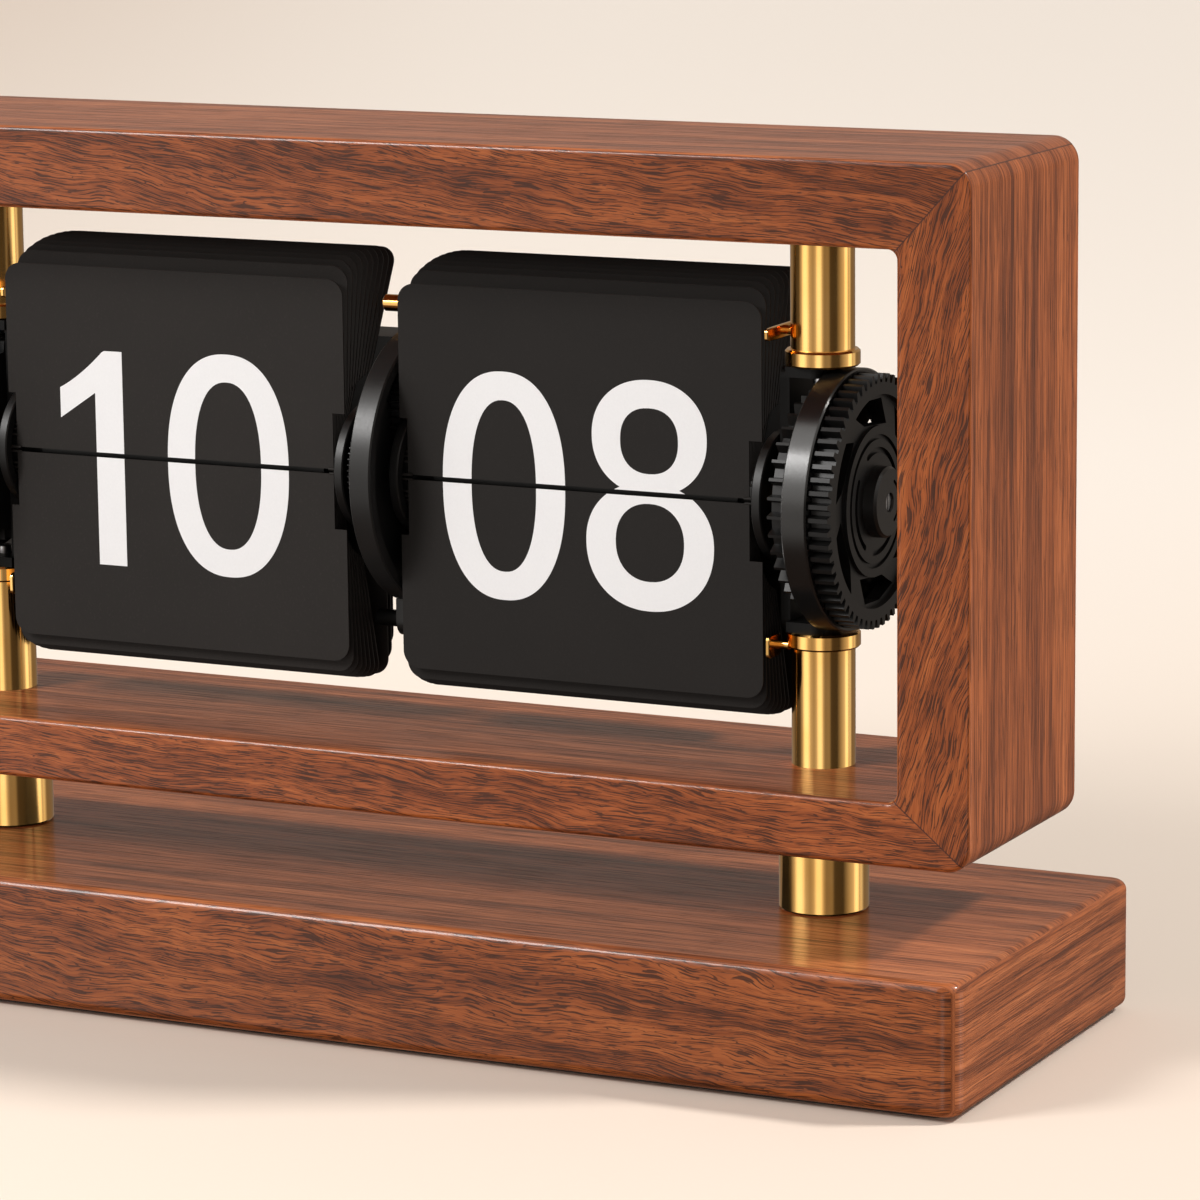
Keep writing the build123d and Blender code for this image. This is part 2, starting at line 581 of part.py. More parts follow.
def transfer_train():
    """Two pairs of small gears beside the centre plate turn the hours once for 24 turns of the minutes."""
    bore = SLEEVE_NECK_RADIUS + PRESS
    angle = radians(TRANSFER_ANGLE)
    facing = angle + pi
    x0, x1 = CENTRE_X0 + CENTRE_WEB + 0.5, DISC_IN - 0.2
    driver = slab_x(spur(DRIVER_TEETH, TRANSFER_MODULE, angle), x0, x1)
    save("minute_transfer_wheel", driver - rod_x(bore, x0 - 1, x1 + 1))
    wheel = spur(ARBOR_TEETH, TRANSFER_MODULE, facing + pi / ARBOR_TEETH)
    pinion = spur(ARBOR_PINION_TEETH, HOUR_MODULE, facing + pi / ARBOR_PINION_TEETH)
    arbor = slab_x(wheel, x0, x1 - 0.4, TRANSFER_Y, TRANSFER_Z)
    arbor += slab_x(pinion, -4.8, -2.4, TRANSFER_Y, TRANSFER_Z)
    arbor += rod_x(ARBOR_RADIUS, -2.5, x0 + 0.1, TRANSFER_Y, TRANSFER_Z)
    save("transfer_arbor", arbor)
    hour = slab_x(spur(HOUR_TEETH, HOUR_MODULE, angle), -4.6, -2.6)
    save("hour_transfer_wheel", hour - rod_x(bore, -6, 0))


# ---------------------------------------------------------------- fixed structure
def end_bracket():
    """The folded plate between a pillar's collars: two tabs, a round bearing eye and an arm to the housing."""
    reach = BRACKET_HALF
    half = PILLAR_GAP / 2
    arm = HOUSING_TOP
    bend = reach + BRACKET_FLARE
    points = [(-reach, -half), (reach, -half), (bend, -arm), (HOUSING_BACK, -arm)]
    points += [(HOUSING_BACK, arm), (bend, arm), (reach, half), (-reach, half)]
    outline = make_face(Polyline(*points, close=True))
    outline = fillet(outline.vertices().group_by(Axis.X)[0], BRACKET_CORNER)
    outline = fillet(outline.vertices().group_by(Axis.X)[-1], BRACKET_CORNER)
    plate = slab_x(outline, BRACKET_X0, BRACKET_X1) + rod_x(BRACKET_EYE, BRACKET_X0, BRACKET_X1)
    plate -= rod_x(BUSH_RADIUS, BRACKET_X0 - 1, BRACKET_X1 + 1)
    plate -= rod_x(DRIVE_SHAFT_RADIUS + 0.6, BRACKET_X0 - 1, BRACKET_X1 + 1, PINION_Y, PINION_Z)
    for z0, z1 in ((GAP_BOTTOM, GAP_BOTTOM + BRACKET_THICKNESS), (GAP_TOP - BRACKET_THICKNESS, GAP_TOP)):
        tab = box(BRACKET_X1 - 0.5, BRACKET_X0 + BRACKET_TAB, -BRACKET_TAB_HALF, BRACKET_TAB_HALF, z0, z1)
        tab = fillet(tab.edges().filter_by(Axis.Z).group_by(Axis.X)[-1], 2.0)
        plate += tab - rod_z(TAB_SCREW_RADIUS + 0.1, z0 - 1, z1 + 1, PILLAR_X)
    return plate


def bush():
    """The flanged brass bush that a sleeve runs in."""
    body = rod_x(BUSH_RADIUS - PRESS, BRACKET_X0, BRACKET_X1 + 0.1)
    body += rod_x(BUSH_RADIUS + 1.2, BRACKET_X1, BRACKET_X1 + 0.6)
    return body - rod_x(SLEEVE_RADIUS + RUNNING, BRACKET_X0 - 1, BRACKET_X1 + 2)


def centre_plate():
    """The round plate between the drums: rim, plain web, bar lugs and a flat back foot."""
    y = CENTRE_BACK
    rim = tube_x(CENTRE_RADIUS, CENTRE_RADIUS - CENTRE_RIM, CENTRE_X0, CENTRE_X1, y)
    rim = chamfer(rim.edges().filter_by(GeomType.CIRCLE).group_by(SortBy.RADIUS)[-1], 0.3)
    web = rod_x(CENTRE_RADIUS - CENTRE_RIM + 0.5, CENTRE_X0, CENTRE_X0 + CENTRE_WEB, y)
    body = rim + web
    for by, bz in bar_places():
        side = 1 if bz > AXIS_Z else -1
        z_rim = AXIS_Z + side * (CENTRE_RADIUS - 1.5)
        lug = box(CENTRE_X0, CENTRE_X1, by - 3.2, by + 3.2, min(z_rim, bz), max(z_rim, bz))
        lug += rod_x(3.2, CENTRE_X0, CENTRE_X1, by, bz)
        body += lug
    reach = 2 * CENTRE_RADIUS
    body -= box(-1, CENTRE_X1 + 1, HOUSING_FRONT, HOUSING_FRONT + reach, AXIS_Z - reach, AXIS_Z + reach)
    z0, z1 = AXIS_Z - HOUSING_BOTTOM, AXIS_Z + HOUSING_TOP
    body += box(CENTRE_X0, CENTRE_X1, HOUSING_FRONT - CENTRE_FOOT, HOUSING_FRONT, z0, z1)
    for by, bz in bar_places():
        body -= rod_x(BAR_RADIUS + PRESS, -1, 7, by, bz)
    body -= rod_x(ARBOR_RADIUS + RUNNING, -1, 7, TRANSFER_Y, TRANSFER_Z)
    return body - rod_x(SPINDLE_RADIUS + PRESS, -1, 7)


def bar_places():
    """Where the two short guide bars pass the centre plate, in (Y, Z)."""
    return (BAR_TOP_Y, AXIS_Z + BAR_RISE), (BAR_BOTTOM_Y, AXIS_Z - BAR_DROP)


def guide_bar(y, z):
    """A short round bar with chamfered ends, carried by a lug of the centre plate."""
    bar = rod_x(BAR_RADIUS, -BAR_LENGTH / 2, BAR_LENGTH / 2, y, z)
    return chamfer(bar.edges(), 0.25)


def boss_places():
    """The four screw bosses of the housing, in (X, Z)."""
    x, z = HOUSING_HALF - 6.0, HOUSING_TOP - 5.0
    return [(sx * x, AXIS_Z + sz * z) for sx in (-1, 1) for sz in (-1, 1)]


def housing_shell():
    """The open-backed tray of the movement, with bosses, battery ribs and motor bearings."""
    wall = HOUSING_WALL
    z0, z1 = AXIS_Z - HOUSING_BOTTOM, AXIS_Z + HOUSING_TOP
    shell = box(-HOUSING_HALF, HOUSING_HALF, HOUSING_FRONT, PLATE_BACK, z0, z1)
    shell = fillet(shell.edges().filter_by(Axis.Y), 2.0)
    shell -= box(-HOUSING_HALF + wall, HOUSING_HALF - wall, HOUSING_FRONT + wall, 60, z0 + wall, z1 - wall)
    for x, z in boss_places():
        shell += rod_y(BOSS_RADIUS, HOUSING_FRONT + 0.5, PLATE_BACK, x, z)
    for x in (BAY_X0, BAY_X1):
        shell += box(x - 0.6, x + 0.6, HOUSING_FRONT + 0.5, PLATE_BACK, AXIS_Z - BAY_HALF, AXIS_Z + BAY_HALF)
    for z in (AXIS_Z - BAY_HALF, AXIS_Z + BAY_HALF):
        shell += box(BAY_X0, BAY_X1, HOUSING_FRONT + 0.5, PLATE_BACK, z - 0.6, z + 0.6)
    for x in (DRIVE_WHEEL_X - 3.0, DRIVE_WHEEL_X + DRIVE_WHEEL_WIDTH + 2.0):
        shell += box(x, x + 1.2, HOUSING_FRONT + 0.5, PLATE_BACK - 0.3, z0 + 0.5, MOTOR_Z + 6.5)
    for x, z in boss_places():
        shell -= rod_y(BOSS_BORE, HOUSING_FRONT + 2, 60, x, z)
    x0 = DRIVE_WHEEL_X - 5
    shell -= rod_x(DRIVE_SHAFT_RADIUS + RUNNING, x0, HOUSING_HALF - wall - 1, PINION_Y, PINION_Z)
    shell -= rod_x(DRIVE_SHAFT_RADIUS + 0.6, HOUSING_HALF - wall - 1, HOUSING_HALF + 1, PINION_Y, PINION_Z)
    return shell - rod_x(MOTOR_SHAFT_RADIUS + RUNNING, x0, HOUSING_HALF - wall - 1, PINION_Y, MOTOR_Z)


def cover_window(clearance):
    """The battery window of the back plate, or the cover that fills it with a clearance."""
    c = clearance
    return box(BAY_X0 + 1.2 + c, BAY_X1 - 1.2 - c, PLATE_BACK, HOUSING_BACK,
               AXIS_Z - BAY_HALF + 1.2 + c, AXIS_Z + BAY_HALF - 1.2 - c)


def housing_back():
    """The back plate of the movement, with its battery window and countersunk corner holes."""
    z0, z1 = AXIS_Z - HOUSING_BOTTOM, AXIS_Z + HOUSING_TOP
    plate = box(-HOUSING_HALF, HOUSING_HALF, PLATE_BACK, HOUSING_BACK, z0, z1)
    plate = fillet(plate.edges().filter_by(Axis.Y), 2.0)
    plate -= cover_window(0)
    for x, z in boss_places():
        plate -= rod_y(BOSS_BORE + 0.2, PLATE_BACK - 1, HOUSING_BACK + 1, x, z)
    return plate


def battery_cover():
    """The battery cover: a flush plate with a row of thumb ribs."""
    cover = cover_window(COVER_CLEARANCE)
    cover = fillet(cover.edges().filter_by(Axis.Y), 1.0)
    for k in range(5):
        x = BAY_X0 + 6 + 2.2 * k
        cover -= box(x, x + 0.9, HOUSING_BACK - 0.5, HOUSING_BACK + 1, AXIS_Z - 5, AXIS_Z + 5)
    return cover


def cell(z, flip):
    """One battery cell: a can with its raised positive button."""
    x0, x1 = -CELL_X - CELL_LENGTH / 2, -CELL_X + CELL_LENGTH / 2
    body = rod_x(CELL_RADIUS, x0 + (0.8 if flip else 0), x1 - (0 if flip else 0.8), CELL_Y, z)
    body = chamfer(body.edges(), 0.4)
    return body + rod_x(1.9, x0 if flip else x1 - 1.0, x0 + 1.0 if flip else x1, CELL_Y, z)


def contact(x, z, side):
    """A battery contact: a plate on the bay's end rib and a sprung cone towards the cell."""
    plate = box(min(x, x + side * 0.4), max(x, x + side * 0.4), CELL_Y - 4, CELL_Y + 4, z - 4, z + 4)
    cone = Pos(x + side * 1.0, CELL_Y, z) * Rot(0, 90 * side, 0) * Cone(3.0, 1.6, 1.4)
    return plate + cone


def movement():
    """Housing, battery, contacts, motor and the shaft whose pinion drives the fine wheel."""
    save("housing_shell", housing_shell())
    save("housing_back", housing_back())
    save("battery_cover", battery_cover())
    rows = (AXIS_Z - CELL_PITCH / 2, AXIS_Z + CELL_PITCH / 2)
    save("battery_cells", cell(rows[0], False), cell(rows[1], True))
    ends = [(BAY_X0 + 0.6, 1), (BAY_X1 - 0.6, -1)]
    save("battery_contacts", *[contact(x, z, side) for x, side in ends for z in rows])
    motor_x1 = DRIVE_WHEEL_X - 3.0
    can = rod_x(MOTOR_RADIUS, motor_x1 - MOTOR_LENGTH, motor_x1, PINION_Y, MOTOR_Z)
    low, high = MOTOR_Z - MOTOR_RADIUS - 1, MOTOR_Z + MOTOR_RADIUS + 1
    room = box(motor_x1 - MOTOR_LENGTH - 1, motor_x1 + 1, HOUSING_FRONT + HOUSING_WALL, PLATE_BACK, low, high)
    can = chamfer(can.edges(), 0.5) & room
    bore_x0 = motor_x1 - MOTOR_SHAFT_GRIP - 1
    save("motor", can - rod_x(MOTOR_SHAFT_RADIUS + RUNNING, bore_x0, motor_x1 + 1, PINION_Y, MOTOR_Z))
    x0, x1 = DRIVE_WHEEL_X, DRIVE_WHEEL_X + DRIVE_WHEEL_WIDTH
    rotor = rod_x(MOTOR_SHAFT_RADIUS, motor_x1 - MOTOR_SHAFT_GRIP, x1 + 3.0, PINION_Y, MOTOR_Z)
    rotor += slab_x(spur(MOTOR_TEETH, DRIVE_MODULE, -pi / 2 + pi / MOTOR_TEETH), x0, x1, PINION_Y, MOTOR_Z)
    save("motor_pinion", rotor)
    shaft = rod_x(DRIVE_SHAFT_RADIUS, x0 - 2.8, FINE_X1 - 0.3, PINION_Y, PINION_Z)
    shaft += slab_x(spur(DRIVE_WHEEL_TEETH, DRIVE_MODULE, pi / 2), x0 + 0.3, x1 - 0.3, PINION_Y, PINION_Z)
    phase = radians(PINION_ANGLE) + pi + pi / PINION_TEETH
    pinion = toothed(PINION_TEETH, PINION_TIP_RADIUS, 2.1, 0.6, 1.3, phase)
    save("drive_shaft", shaft + slab_x(pinion, FINE_X0 + 0.3, FINE_X1 - 0.3, PINION_Y, PINION_Z))


def structure():
    """Brackets, bushes, spindle, centre plate and its two bars."""
    save_pair("end_bracket", end_bracket())
    save_pair("bush", bush())
    spindle = rod_x(SPINDLE_RADIUS, -KNOB_X1 + 2.2, KNOB_X1 - 2.2)
    save("spindle", chamfer(spindle.edges(), 0.3))
    save("centre_plate", centre_plate())
    for name, place in zip(("guide_bar_top", "guide_bar_bottom"), bar_places()):
        save(name, guide_bar(*place))


woodwork()
pillars()
fixings()
leaves()
wheelwork()
transfer_train()
structure()
movement()
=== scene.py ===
"""Desk flip clock: finishes, printed figures, brass leaf guides, table, lights and camera, added
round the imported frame."""

import json
import math

import bmesh
import bpy
import numpy as np
from mathutils import Matrix, Vector


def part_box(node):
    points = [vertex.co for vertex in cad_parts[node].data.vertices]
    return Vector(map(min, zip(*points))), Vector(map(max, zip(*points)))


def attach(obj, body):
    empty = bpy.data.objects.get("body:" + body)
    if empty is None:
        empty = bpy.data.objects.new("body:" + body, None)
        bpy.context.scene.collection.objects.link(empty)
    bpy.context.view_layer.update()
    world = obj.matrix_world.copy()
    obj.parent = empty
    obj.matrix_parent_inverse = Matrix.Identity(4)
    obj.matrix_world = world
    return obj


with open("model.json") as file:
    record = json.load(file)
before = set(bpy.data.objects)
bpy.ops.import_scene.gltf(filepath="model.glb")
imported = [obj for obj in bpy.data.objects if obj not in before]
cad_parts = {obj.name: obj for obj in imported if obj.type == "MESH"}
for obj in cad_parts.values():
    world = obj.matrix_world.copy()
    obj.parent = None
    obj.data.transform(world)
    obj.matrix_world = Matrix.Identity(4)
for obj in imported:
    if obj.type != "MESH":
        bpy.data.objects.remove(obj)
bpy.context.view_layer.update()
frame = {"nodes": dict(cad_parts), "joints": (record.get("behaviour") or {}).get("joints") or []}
NODES = frame["nodes"]
MM = 0.001


def joint_place(name):
    """Where a joint's axis passes, in millimetres."""
    found = next(j for j in frame["joints"] if j["name"] == name)
    return np.array(found["pos_m"]) / MM


def span(node):
    """Lowest and highest corner of a CAD node, in millimetres."""
    low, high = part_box(node)
    return np.array(low) / MM, np.array(high) / MM


# ---------------------------------------------------------------- driving values, mm
AXIS_Z = joint_place("minute_turn")[2]
CARD_THICKNESS = 0.3
CARD_GAP = 1.0  # the slit between the upper and the lower card
HINGE_TO_CARD = 0.3  # hinge line to the middle of the card that hangs on it
INK_DEPTH = 0.05
INK_WELD = 0.004  # points of one figure's patches that lie closer than this are one
FIGURE_DROP = 0.5  # the figures sit this far below the drum axis
ZERO_HALF_HEIGHT = 22.7
COUNTER_HALF_HEIGHT = 17.05
STROKE = 6.35
ROWS = 26  # levels between two key heights of a figure
COLUMNS = 5  # points across a stroke


# ---------------------------------------------------------------- shader maths
class Socket:
    """An output socket. Sums, products and quotients of it add Math nodes."""

    def __init__(self, finish, out):
        self.finish = finish
        self.out = out

    def math(self, operation, *others):
        return self.finish.node(
            "ShaderNodeMath", {"operation": operation}, dict(enumerate((self, *others)))
        )

    def __add__(self, other):
        return self.math("ADD", other)

    def __sub__(self, other):
        return self.math("SUBTRACT", other)

    def __mul__(self, other):
        return self.math("MULTIPLY", other)

    def __truediv__(self, other):
        return self.math("DIVIDE", other)

    def __abs__(self):
        return self.math("ABSOLUTE")

    def __rsub__(self, other):
        return self.finish.node(
            "ShaderNodeMath", {"operation": "SUBTRACT"}, {0: other, 1: self}
        )

    __radd__ = __add__
    __rmul__ = __mul__


class Finish:
    """A node tree with one method that adds any node, and short names for the usual ones."""

    def __init__(self, name, tree=None):
        if tree is None:
            self.material = bpy.data.materials.new(name)
            self.material.use_nodes = True
            tree = self.material.node_tree
            self.shader = tree.nodes["Principled BSDF"]
        self.tree = tree

    def node(self, kind, settings=None, inputs=None, out=0):
        made = self.tree.nodes.new(kind)
        for key, value in (settings or {}).items():
            if key == "stops":
                self.fill_ramp(made.color_ramp, value)
            else:
                setattr(made, key, value)
        for key, value in (inputs or {}).items():
            self.feed(made.inputs[key], value)
        return Socket(self, made.outputs[out])

    def feed(self, socket, value):
        if isinstance(value, Socket):
            self.tree.links.new(value.out, socket)
        elif hasattr(socket.default_value, "__len__") and len(socket.default_value) == 4:
            socket.default_value = (*value, 1.0)[:4]
        else:
            socket.default_value = value

    @staticmethod
    def fill_ramp(ramp, stops):
        while len(ramp.elements) < len(stops):
            ramp.elements.new(0.5)
        for element, (place, colour) in zip(ramp.elements, stops):
            element.position = place
            element.color = (*colour, 1.0)[:4]

    def shade(self, **values):
        """Sets the shader's sockets; Base_Color stands for Base Color."""
        for key, value in values.items():
            self.feed(self.shader.inputs[key.replace("_", " ")], value)
        return self.material

    def place(self):
        """Object coordinates in millimetres, as three sockets."""
        spot = self.node("ShaderNodeTexCoord", out="Object")
        scaled = self.node(
            "ShaderNodeVectorMath", {"operation": "SCALE"}, {0: spot, "Scale": 1 / MM}
        )
        return self.split(scaled)

    def facing(self):
        """The surface's normal, as three sockets."""
        return self.split(self.node("ShaderNodeNewGeometry", out="Normal"))

    def split(self, vector):
        parts = self.tree.nodes.new("ShaderNodeSeparateXYZ")
        self.tree.links.new(vector.out, parts.inputs[0])
        return [Socket(self, parts.outputs[k]) for k in range(3)]

    def vector(self, x, y, z):
        return self.node("ShaderNodeCombineXYZ", None, {0: x, 1: y, 2: z})

    def noise(self, vector, scale=1.0, detail=2.0, roughness=0.5, distortion=0.0):
        return self.node(
            "ShaderNodeTexNoise",
            {"noise_dimensions": "3D"},
            {
                "Vector": vector,
                "Scale": scale,
                "Detail": detail,
                "Roughness": roughness,
                "Distortion": distortion,
            },
        )

    def step(self, value, low, high):
        """Smooth step of value, 0 at low and 1 at high."""
        return self.node(
            "ShaderNodeMapRange",
            {"interpolation_type": "SMOOTHSTEP"},
            {0: value, 1: low, 2: high},
        )

    def mix(self, share, first, second, kind="MIX"):
        """first where share is 0 and second where it is 1, as colours."""
        return self.node(
            "ShaderNodeMix",
            {"data_type": "RGBA", "blend_type": kind},
            {0: share, 6: first, 7: second},
            out=2,
        )

    def ramp(self, share, stops):
        return self.node("ShaderNodeValToRGB", {"stops": stops}, {0: share})

    def bump(self, height, distance, strength=1.0):
        """Normal from a height of 0 to 1 that stands for distance millimetres."""
        return self.node(
            "ShaderNodeBump",
            None,
            {"Height": height, "Distance": distance * MM, "Strength": strength},
        )


# ---------------------------------------------------------------- wood
WALNUT_PALE = (0.56, 0.180, 0.068)
WALNUT_LIGHT = (0.43, 0.124, 0.044)
WALNUT_MID = (0.300, 0.080, 0.027)
WALNUT_DARK = (0.150, 0.040, 0.016)
WALNUT_PORE = (0.050, 0.017, 0.011)
FLAT_FACE_SHADE = (0.74, 0.65, 0.46)  # painted shade: the faces whose normal runs along Y, front and back, are painted darker and redder than the edges, as if in shade
FACES_AXIS = (0.70, 0.78)  # how much of an axis its normal has where a face turns square to it
END_FINENESS = 1.6  # the grain on wrapped ends is drawn this much finer over their height

# Noise scales per millimetre, along the grain and across it.
DRIFT = (0.017, 0.050)
RIPPLE = (0.075, 0.11)
BANDS = (0.016, 0.17)
STREAKS = (0.050, 0.80)
LINES = (0.085, 2.1)
PORES = (0.15, 3.9)
FIBRES = (0.22, 4.8)
HAIRS = (0.10, 1.2)
DRIFT_BEND = 11.0  # how far each of the two bends carries the grain sideways, mm
RIPPLE_BEND = 2.4
HAIR_DEPTH = 7.0  # sets the hairs apart from the other noises


def walnut(name, along, tilt, seed, wrapped_ends=False):
    """Oiled walnut, drawn on each face in u along the grain and v across it. The broad faces, whose
    normal is along Y, show flowing grain: v is bent by a broad and a narrow noise. The faces on
    edge show straight fine streaks, with v = y. On both, three noises drawn out along u add up to
    the tone, and two finer ones, cut off sharply, are the pores and the fibres. along is "X" or
    "Z", tilt the grain's slope in degrees, and with wrapped_ends the faces whose normal is along X
    show grain that runs along Y."""
    wood = Finish(name)
    x, y, z = wood.place()
    facing_x, facing_y, _ = wood.facing()
    broad = wood.step(abs(facing_y), *FACES_AXIS)
    first, second = (x, z) if along == "X" else (z, x)
    slope = math.radians(tilt)
    u = first + second * (broad * math.sin(slope))
    v = y + (second - first * math.tan(slope) - y) * broad
    if wrapped_ends:
        end = wood.step(abs(facing_x), *FACES_AXIS)
        u, v = u + (y - u) * end, v + (z * END_FINENESS - v) * end
    calm = broad * 0.86 + 0.14
    drift = wood.noise(wood.vector(u * DRIFT[0] + seed, v * DRIFT[1], seed), 1.0, 2.0)
    ripple = wood.noise(wood.vector(u * RIPPLE[0], v * RIPPLE[1] + seed, seed), 1.0, 2.0)
    v = v + ((drift - 0.5) * DRIFT_BEND + (ripple - 0.5) * RIPPLE_BEND) * calm

    run = u * (broad * 0.65 + 0.35)
    thin = v * (broad * 0.25 + 0.75)
    bands = wood.noise(wood.vector(run * BANDS[0], v * BANDS[1], seed), 1.0, 3.0, 0.55)
    streaks = wood.noise(
        wood.vector(run * STREAKS[0] + seed, thin * STREAKS[1], seed), 1.0, 2.0, 0.6
    )
    lines = wood.noise(wood.vector(run * LINES[0], thin * LINES[1] + seed, seed), 1.0, 2.0, 0.6)
    pores = wood.noise(wood.vector(run * PORES[0] + seed, thin * PORES[1], seed), 1.0, 1.0, 0.5)
    fibres = wood.noise(
        wood.vector(run * FIBRES[0], thin * FIBRES[1] + seed, seed), 1.0, 1.5, 0.6
    )
    hairs = wood.noise(
        wood.vector(run * HAIRS[0], thin * HAIRS[1], seed + HAIR_DEPTH), 1.0, 1.0, 0.5
    )
    tone = bands * 0.45 + streaks * 0.32 + lines * 0.23
    body = wood.ramp(
        tone,
        [
            (0.38, WALNUT_DARK),
            (0.47, WALNUT_MID),
            (0.55, WALNUT_LIGHT),
            (0.66, WALNUT_PALE),
        ],
    )
    hair = wood.step(abs(hairs - 0.5), 0.020, 0.008) * wood.step(lines, 0.54, 0.48)
    fibre = wood.step(fibres, 0.44, 0.38)
    body = wood.mix(fibre * 0.55, body, WALNUT_DARK)
    crowd = wood.step(tone, 0.58, 0.42)
    pore = wood.step(pores - crowd * 0.07, 0.415, 0.385).math("MAXIMUM", hair * 0.9)
    body = wood.mix(pore * (broad * 0.27 + 0.58), body, WALNUT_PORE)
    # Painted shade: the faces whose normal runs along Y are multiplied darker and redder than the
    # others.
    body = wood.mix(broad, body, FLAT_FACE_SHADE, "MULTIPLY")
    height = 1.0 - pore * 0.8 - fibre * 0.2
    return wood, body, height, pore


MITRE_LINE = (0.20, 0.06)  # the glue line fades out and is full at these distances, mm
MITRE_START = (-1.5, -1.0)  # where it begins, from the opening's corner outwards, mm


def mitre_line(wood, low, high, inner):
    """1 on the glue line of each mitre: within about 0.13 mm of the line in XZ from the frame's
    outer corner to its opening's corner, on either side of the middle."""
    x, _, z = wood.place()
    side = abs(x)
    beyond = wood.step(side, inner[2] + MITRE_START[0], inner[2] + MITRE_START[1])
    marks = []
    for corner_z, opening_z in ((high[2], inner[1]), (low[2], inner[0])):
        run = high[0] - inner[2]
        rise = corner_z - opening_z
        length = math.hypot(run, rise)
        offset = (side - inner[2]) * (rise / length) - (z - opening_z) * (run / length)
        marks.append(wood.step(abs(offset), *MITRE_LINE) * beyond)
    return marks[0].math("MAXIMUM", marks[1])


def board_finish(name, along, tilt, seed, tone, wrapped_ends=False, mitre=None):
    """A finished walnut board: oiled, with a thin glossy film over the grain. tone is how this
    board's colour differs from the others'."""
    wood, body, height, pore = walnut(name, along, tilt, seed, wrapped_ends)
    body = wood.mix(1.0, body, tone, "MULTIPLY")
    if mitre:
        body = wood.mix(mitre_line(wood, *mitre) * 0.85, body, WALNUT_PORE)
    return wood.shade(
        Base_Color=body,
        Roughness=pore * 0.18 + 0.36,
        Specular_IOR_Level=0.16,
        Coat_Weight=0.42,
        Coat_Roughness=0.11,
        Normal=wood.bump(height, 0.09, 0.55),
    )


# ---------------------------------------------------------------- metal, card, plastic
BRASS_DEEP = (0.90, 0.51, 0.150)
BRASS_PALE = (0.94, 0.57, 0.195)


def brass(name, grooves=0.0):
    """Polished brass. grooves is how far fine turning marks round an upright part draw its
    reflections out along the part."""
    metal = Finish(name)
    x, y, z = metal.place()
    marks = metal.noise(metal.vector(x * 0.25, y * 0.25, z * 9.0), 1.0, 2.0, 0.6)
    tarnish = metal.noise(metal.vector(x * 0.12, y * 0.12, z * 0.05), 1.0, 3.0, 0.6)
    colour = metal.mix(metal.step(tarnish, 0.35, 0.70), BRASS_DEEP, BRASS_PALE)
    return metal.shade(
        Base_Color=colour,
        Metallic=1.0,
        Roughness=marks * 0.07 + 0.11,
        Anisotropic=grooves,
        Anisotropic_Rotation=0.25 if grooves else 0.0,
        Normal=metal.bump(marks, 0.004, 0.35),
    )


def steel():
    """Bright steel with fine marks across the clock's length."""
    metal = Finish("machined_steel")
    x, y, z = metal.place()
    marks = metal.noise(metal.vector(x * 6.0, y * 0.6, z * 0.6), 1.0, 2.0, 0.6)
    colour = metal.mix(marks, (0.42, 0.42, 0.43), (0.66, 0.66, 0.67))
    return metal.shade(
        Base_Color=colour,
        Metallic=1.0,
        Roughness=marks * 0.15 + 0.24,
        Normal=metal.bump(marks, 0.01, 0.4),
    )


CARD_HUE = (1.0, 0.86, 0.77)


def card(name, tone):
    """Matt charcoal card with a fine pressed fibre. tone is its mean level."""
    sheet = Finish(name)
    x, y, z = sheet.place()
    fibre = sheet.noise(sheet.vector(x * 2.2, y * 2.2, z * 1.6), 1.0, 3.0, 0.65)
    cloud = sheet.noise(sheet.vector(x * 0.05, y * 0.05, z * 0.05), 1.0, 2.0, 0.5)
    dark, light, flecks = (
        tuple(tone * level * k for k in CARD_HUE) for level in (0.85, 1.15, 1.8)
    )
    colour = sheet.mix(cloud, dark, light)
    colour = sheet.mix(sheet.step(fibre, 0.52, 0.70) * 0.35, colour, flecks)
    return sheet.shade(
        Base_Color=colour,
        Roughness=fibre * 0.12 + 0.56,
        Specular_IOR_Level=0.18,
        Normal=sheet.bump(fibre, 0.03, 0.30),
    )


def ink():
    """White screen ink, with the card's fibre just showing through."""
    paint = Finish("white_ink")
    x, y, z = paint.place()
    fibre = paint.noise(paint.vector(x * 2.2, y * 2.2, z * 1.6), 1.0, 3.0, 0.65)
    colour = paint.mix(fibre, (0.90, 0.885, 0.88), (0.84, 0.825, 0.82))
    return paint.shade(
        Base_Color=colour,
        Roughness=fibre * 0.10 + 0.55,
        Normal=paint.bump(fibre, 0.02, 0.20),
    )


def moulded_black(name, tone, rough, grain, shine):
    """Black moulding. tone is its mean level, rough its least roughness, grain the size of the
    mould's texture in millimetres, and shine how strongly it mirrors."""
    plastic = Finish(name)
    x, y, z = plastic.place()
    fine = plastic.noise(plastic.vector(x / grain, y / grain, z / grain), 1.0, 2.0, 0.6)
    cloud = plastic.noise(plastic.vector(x * 0.07, y * 0.07, z * 0.07), 1.0, 2.0, 0.5)
    dark = tuple(tone * k for k in (0.80, 0.76, 0.72))
    light = tuple(tone * k for k in (1.20, 1.16, 1.12))
    return plastic.shade(
        Base_Color=plastic.mix(cloud, dark, light),
        Roughness=fine * 0.12 + rough + cloud * 0.05,
        Specular_IOR_Level=shine,
        Normal=plastic.bump(fine, 0.02, 0.25),
    )


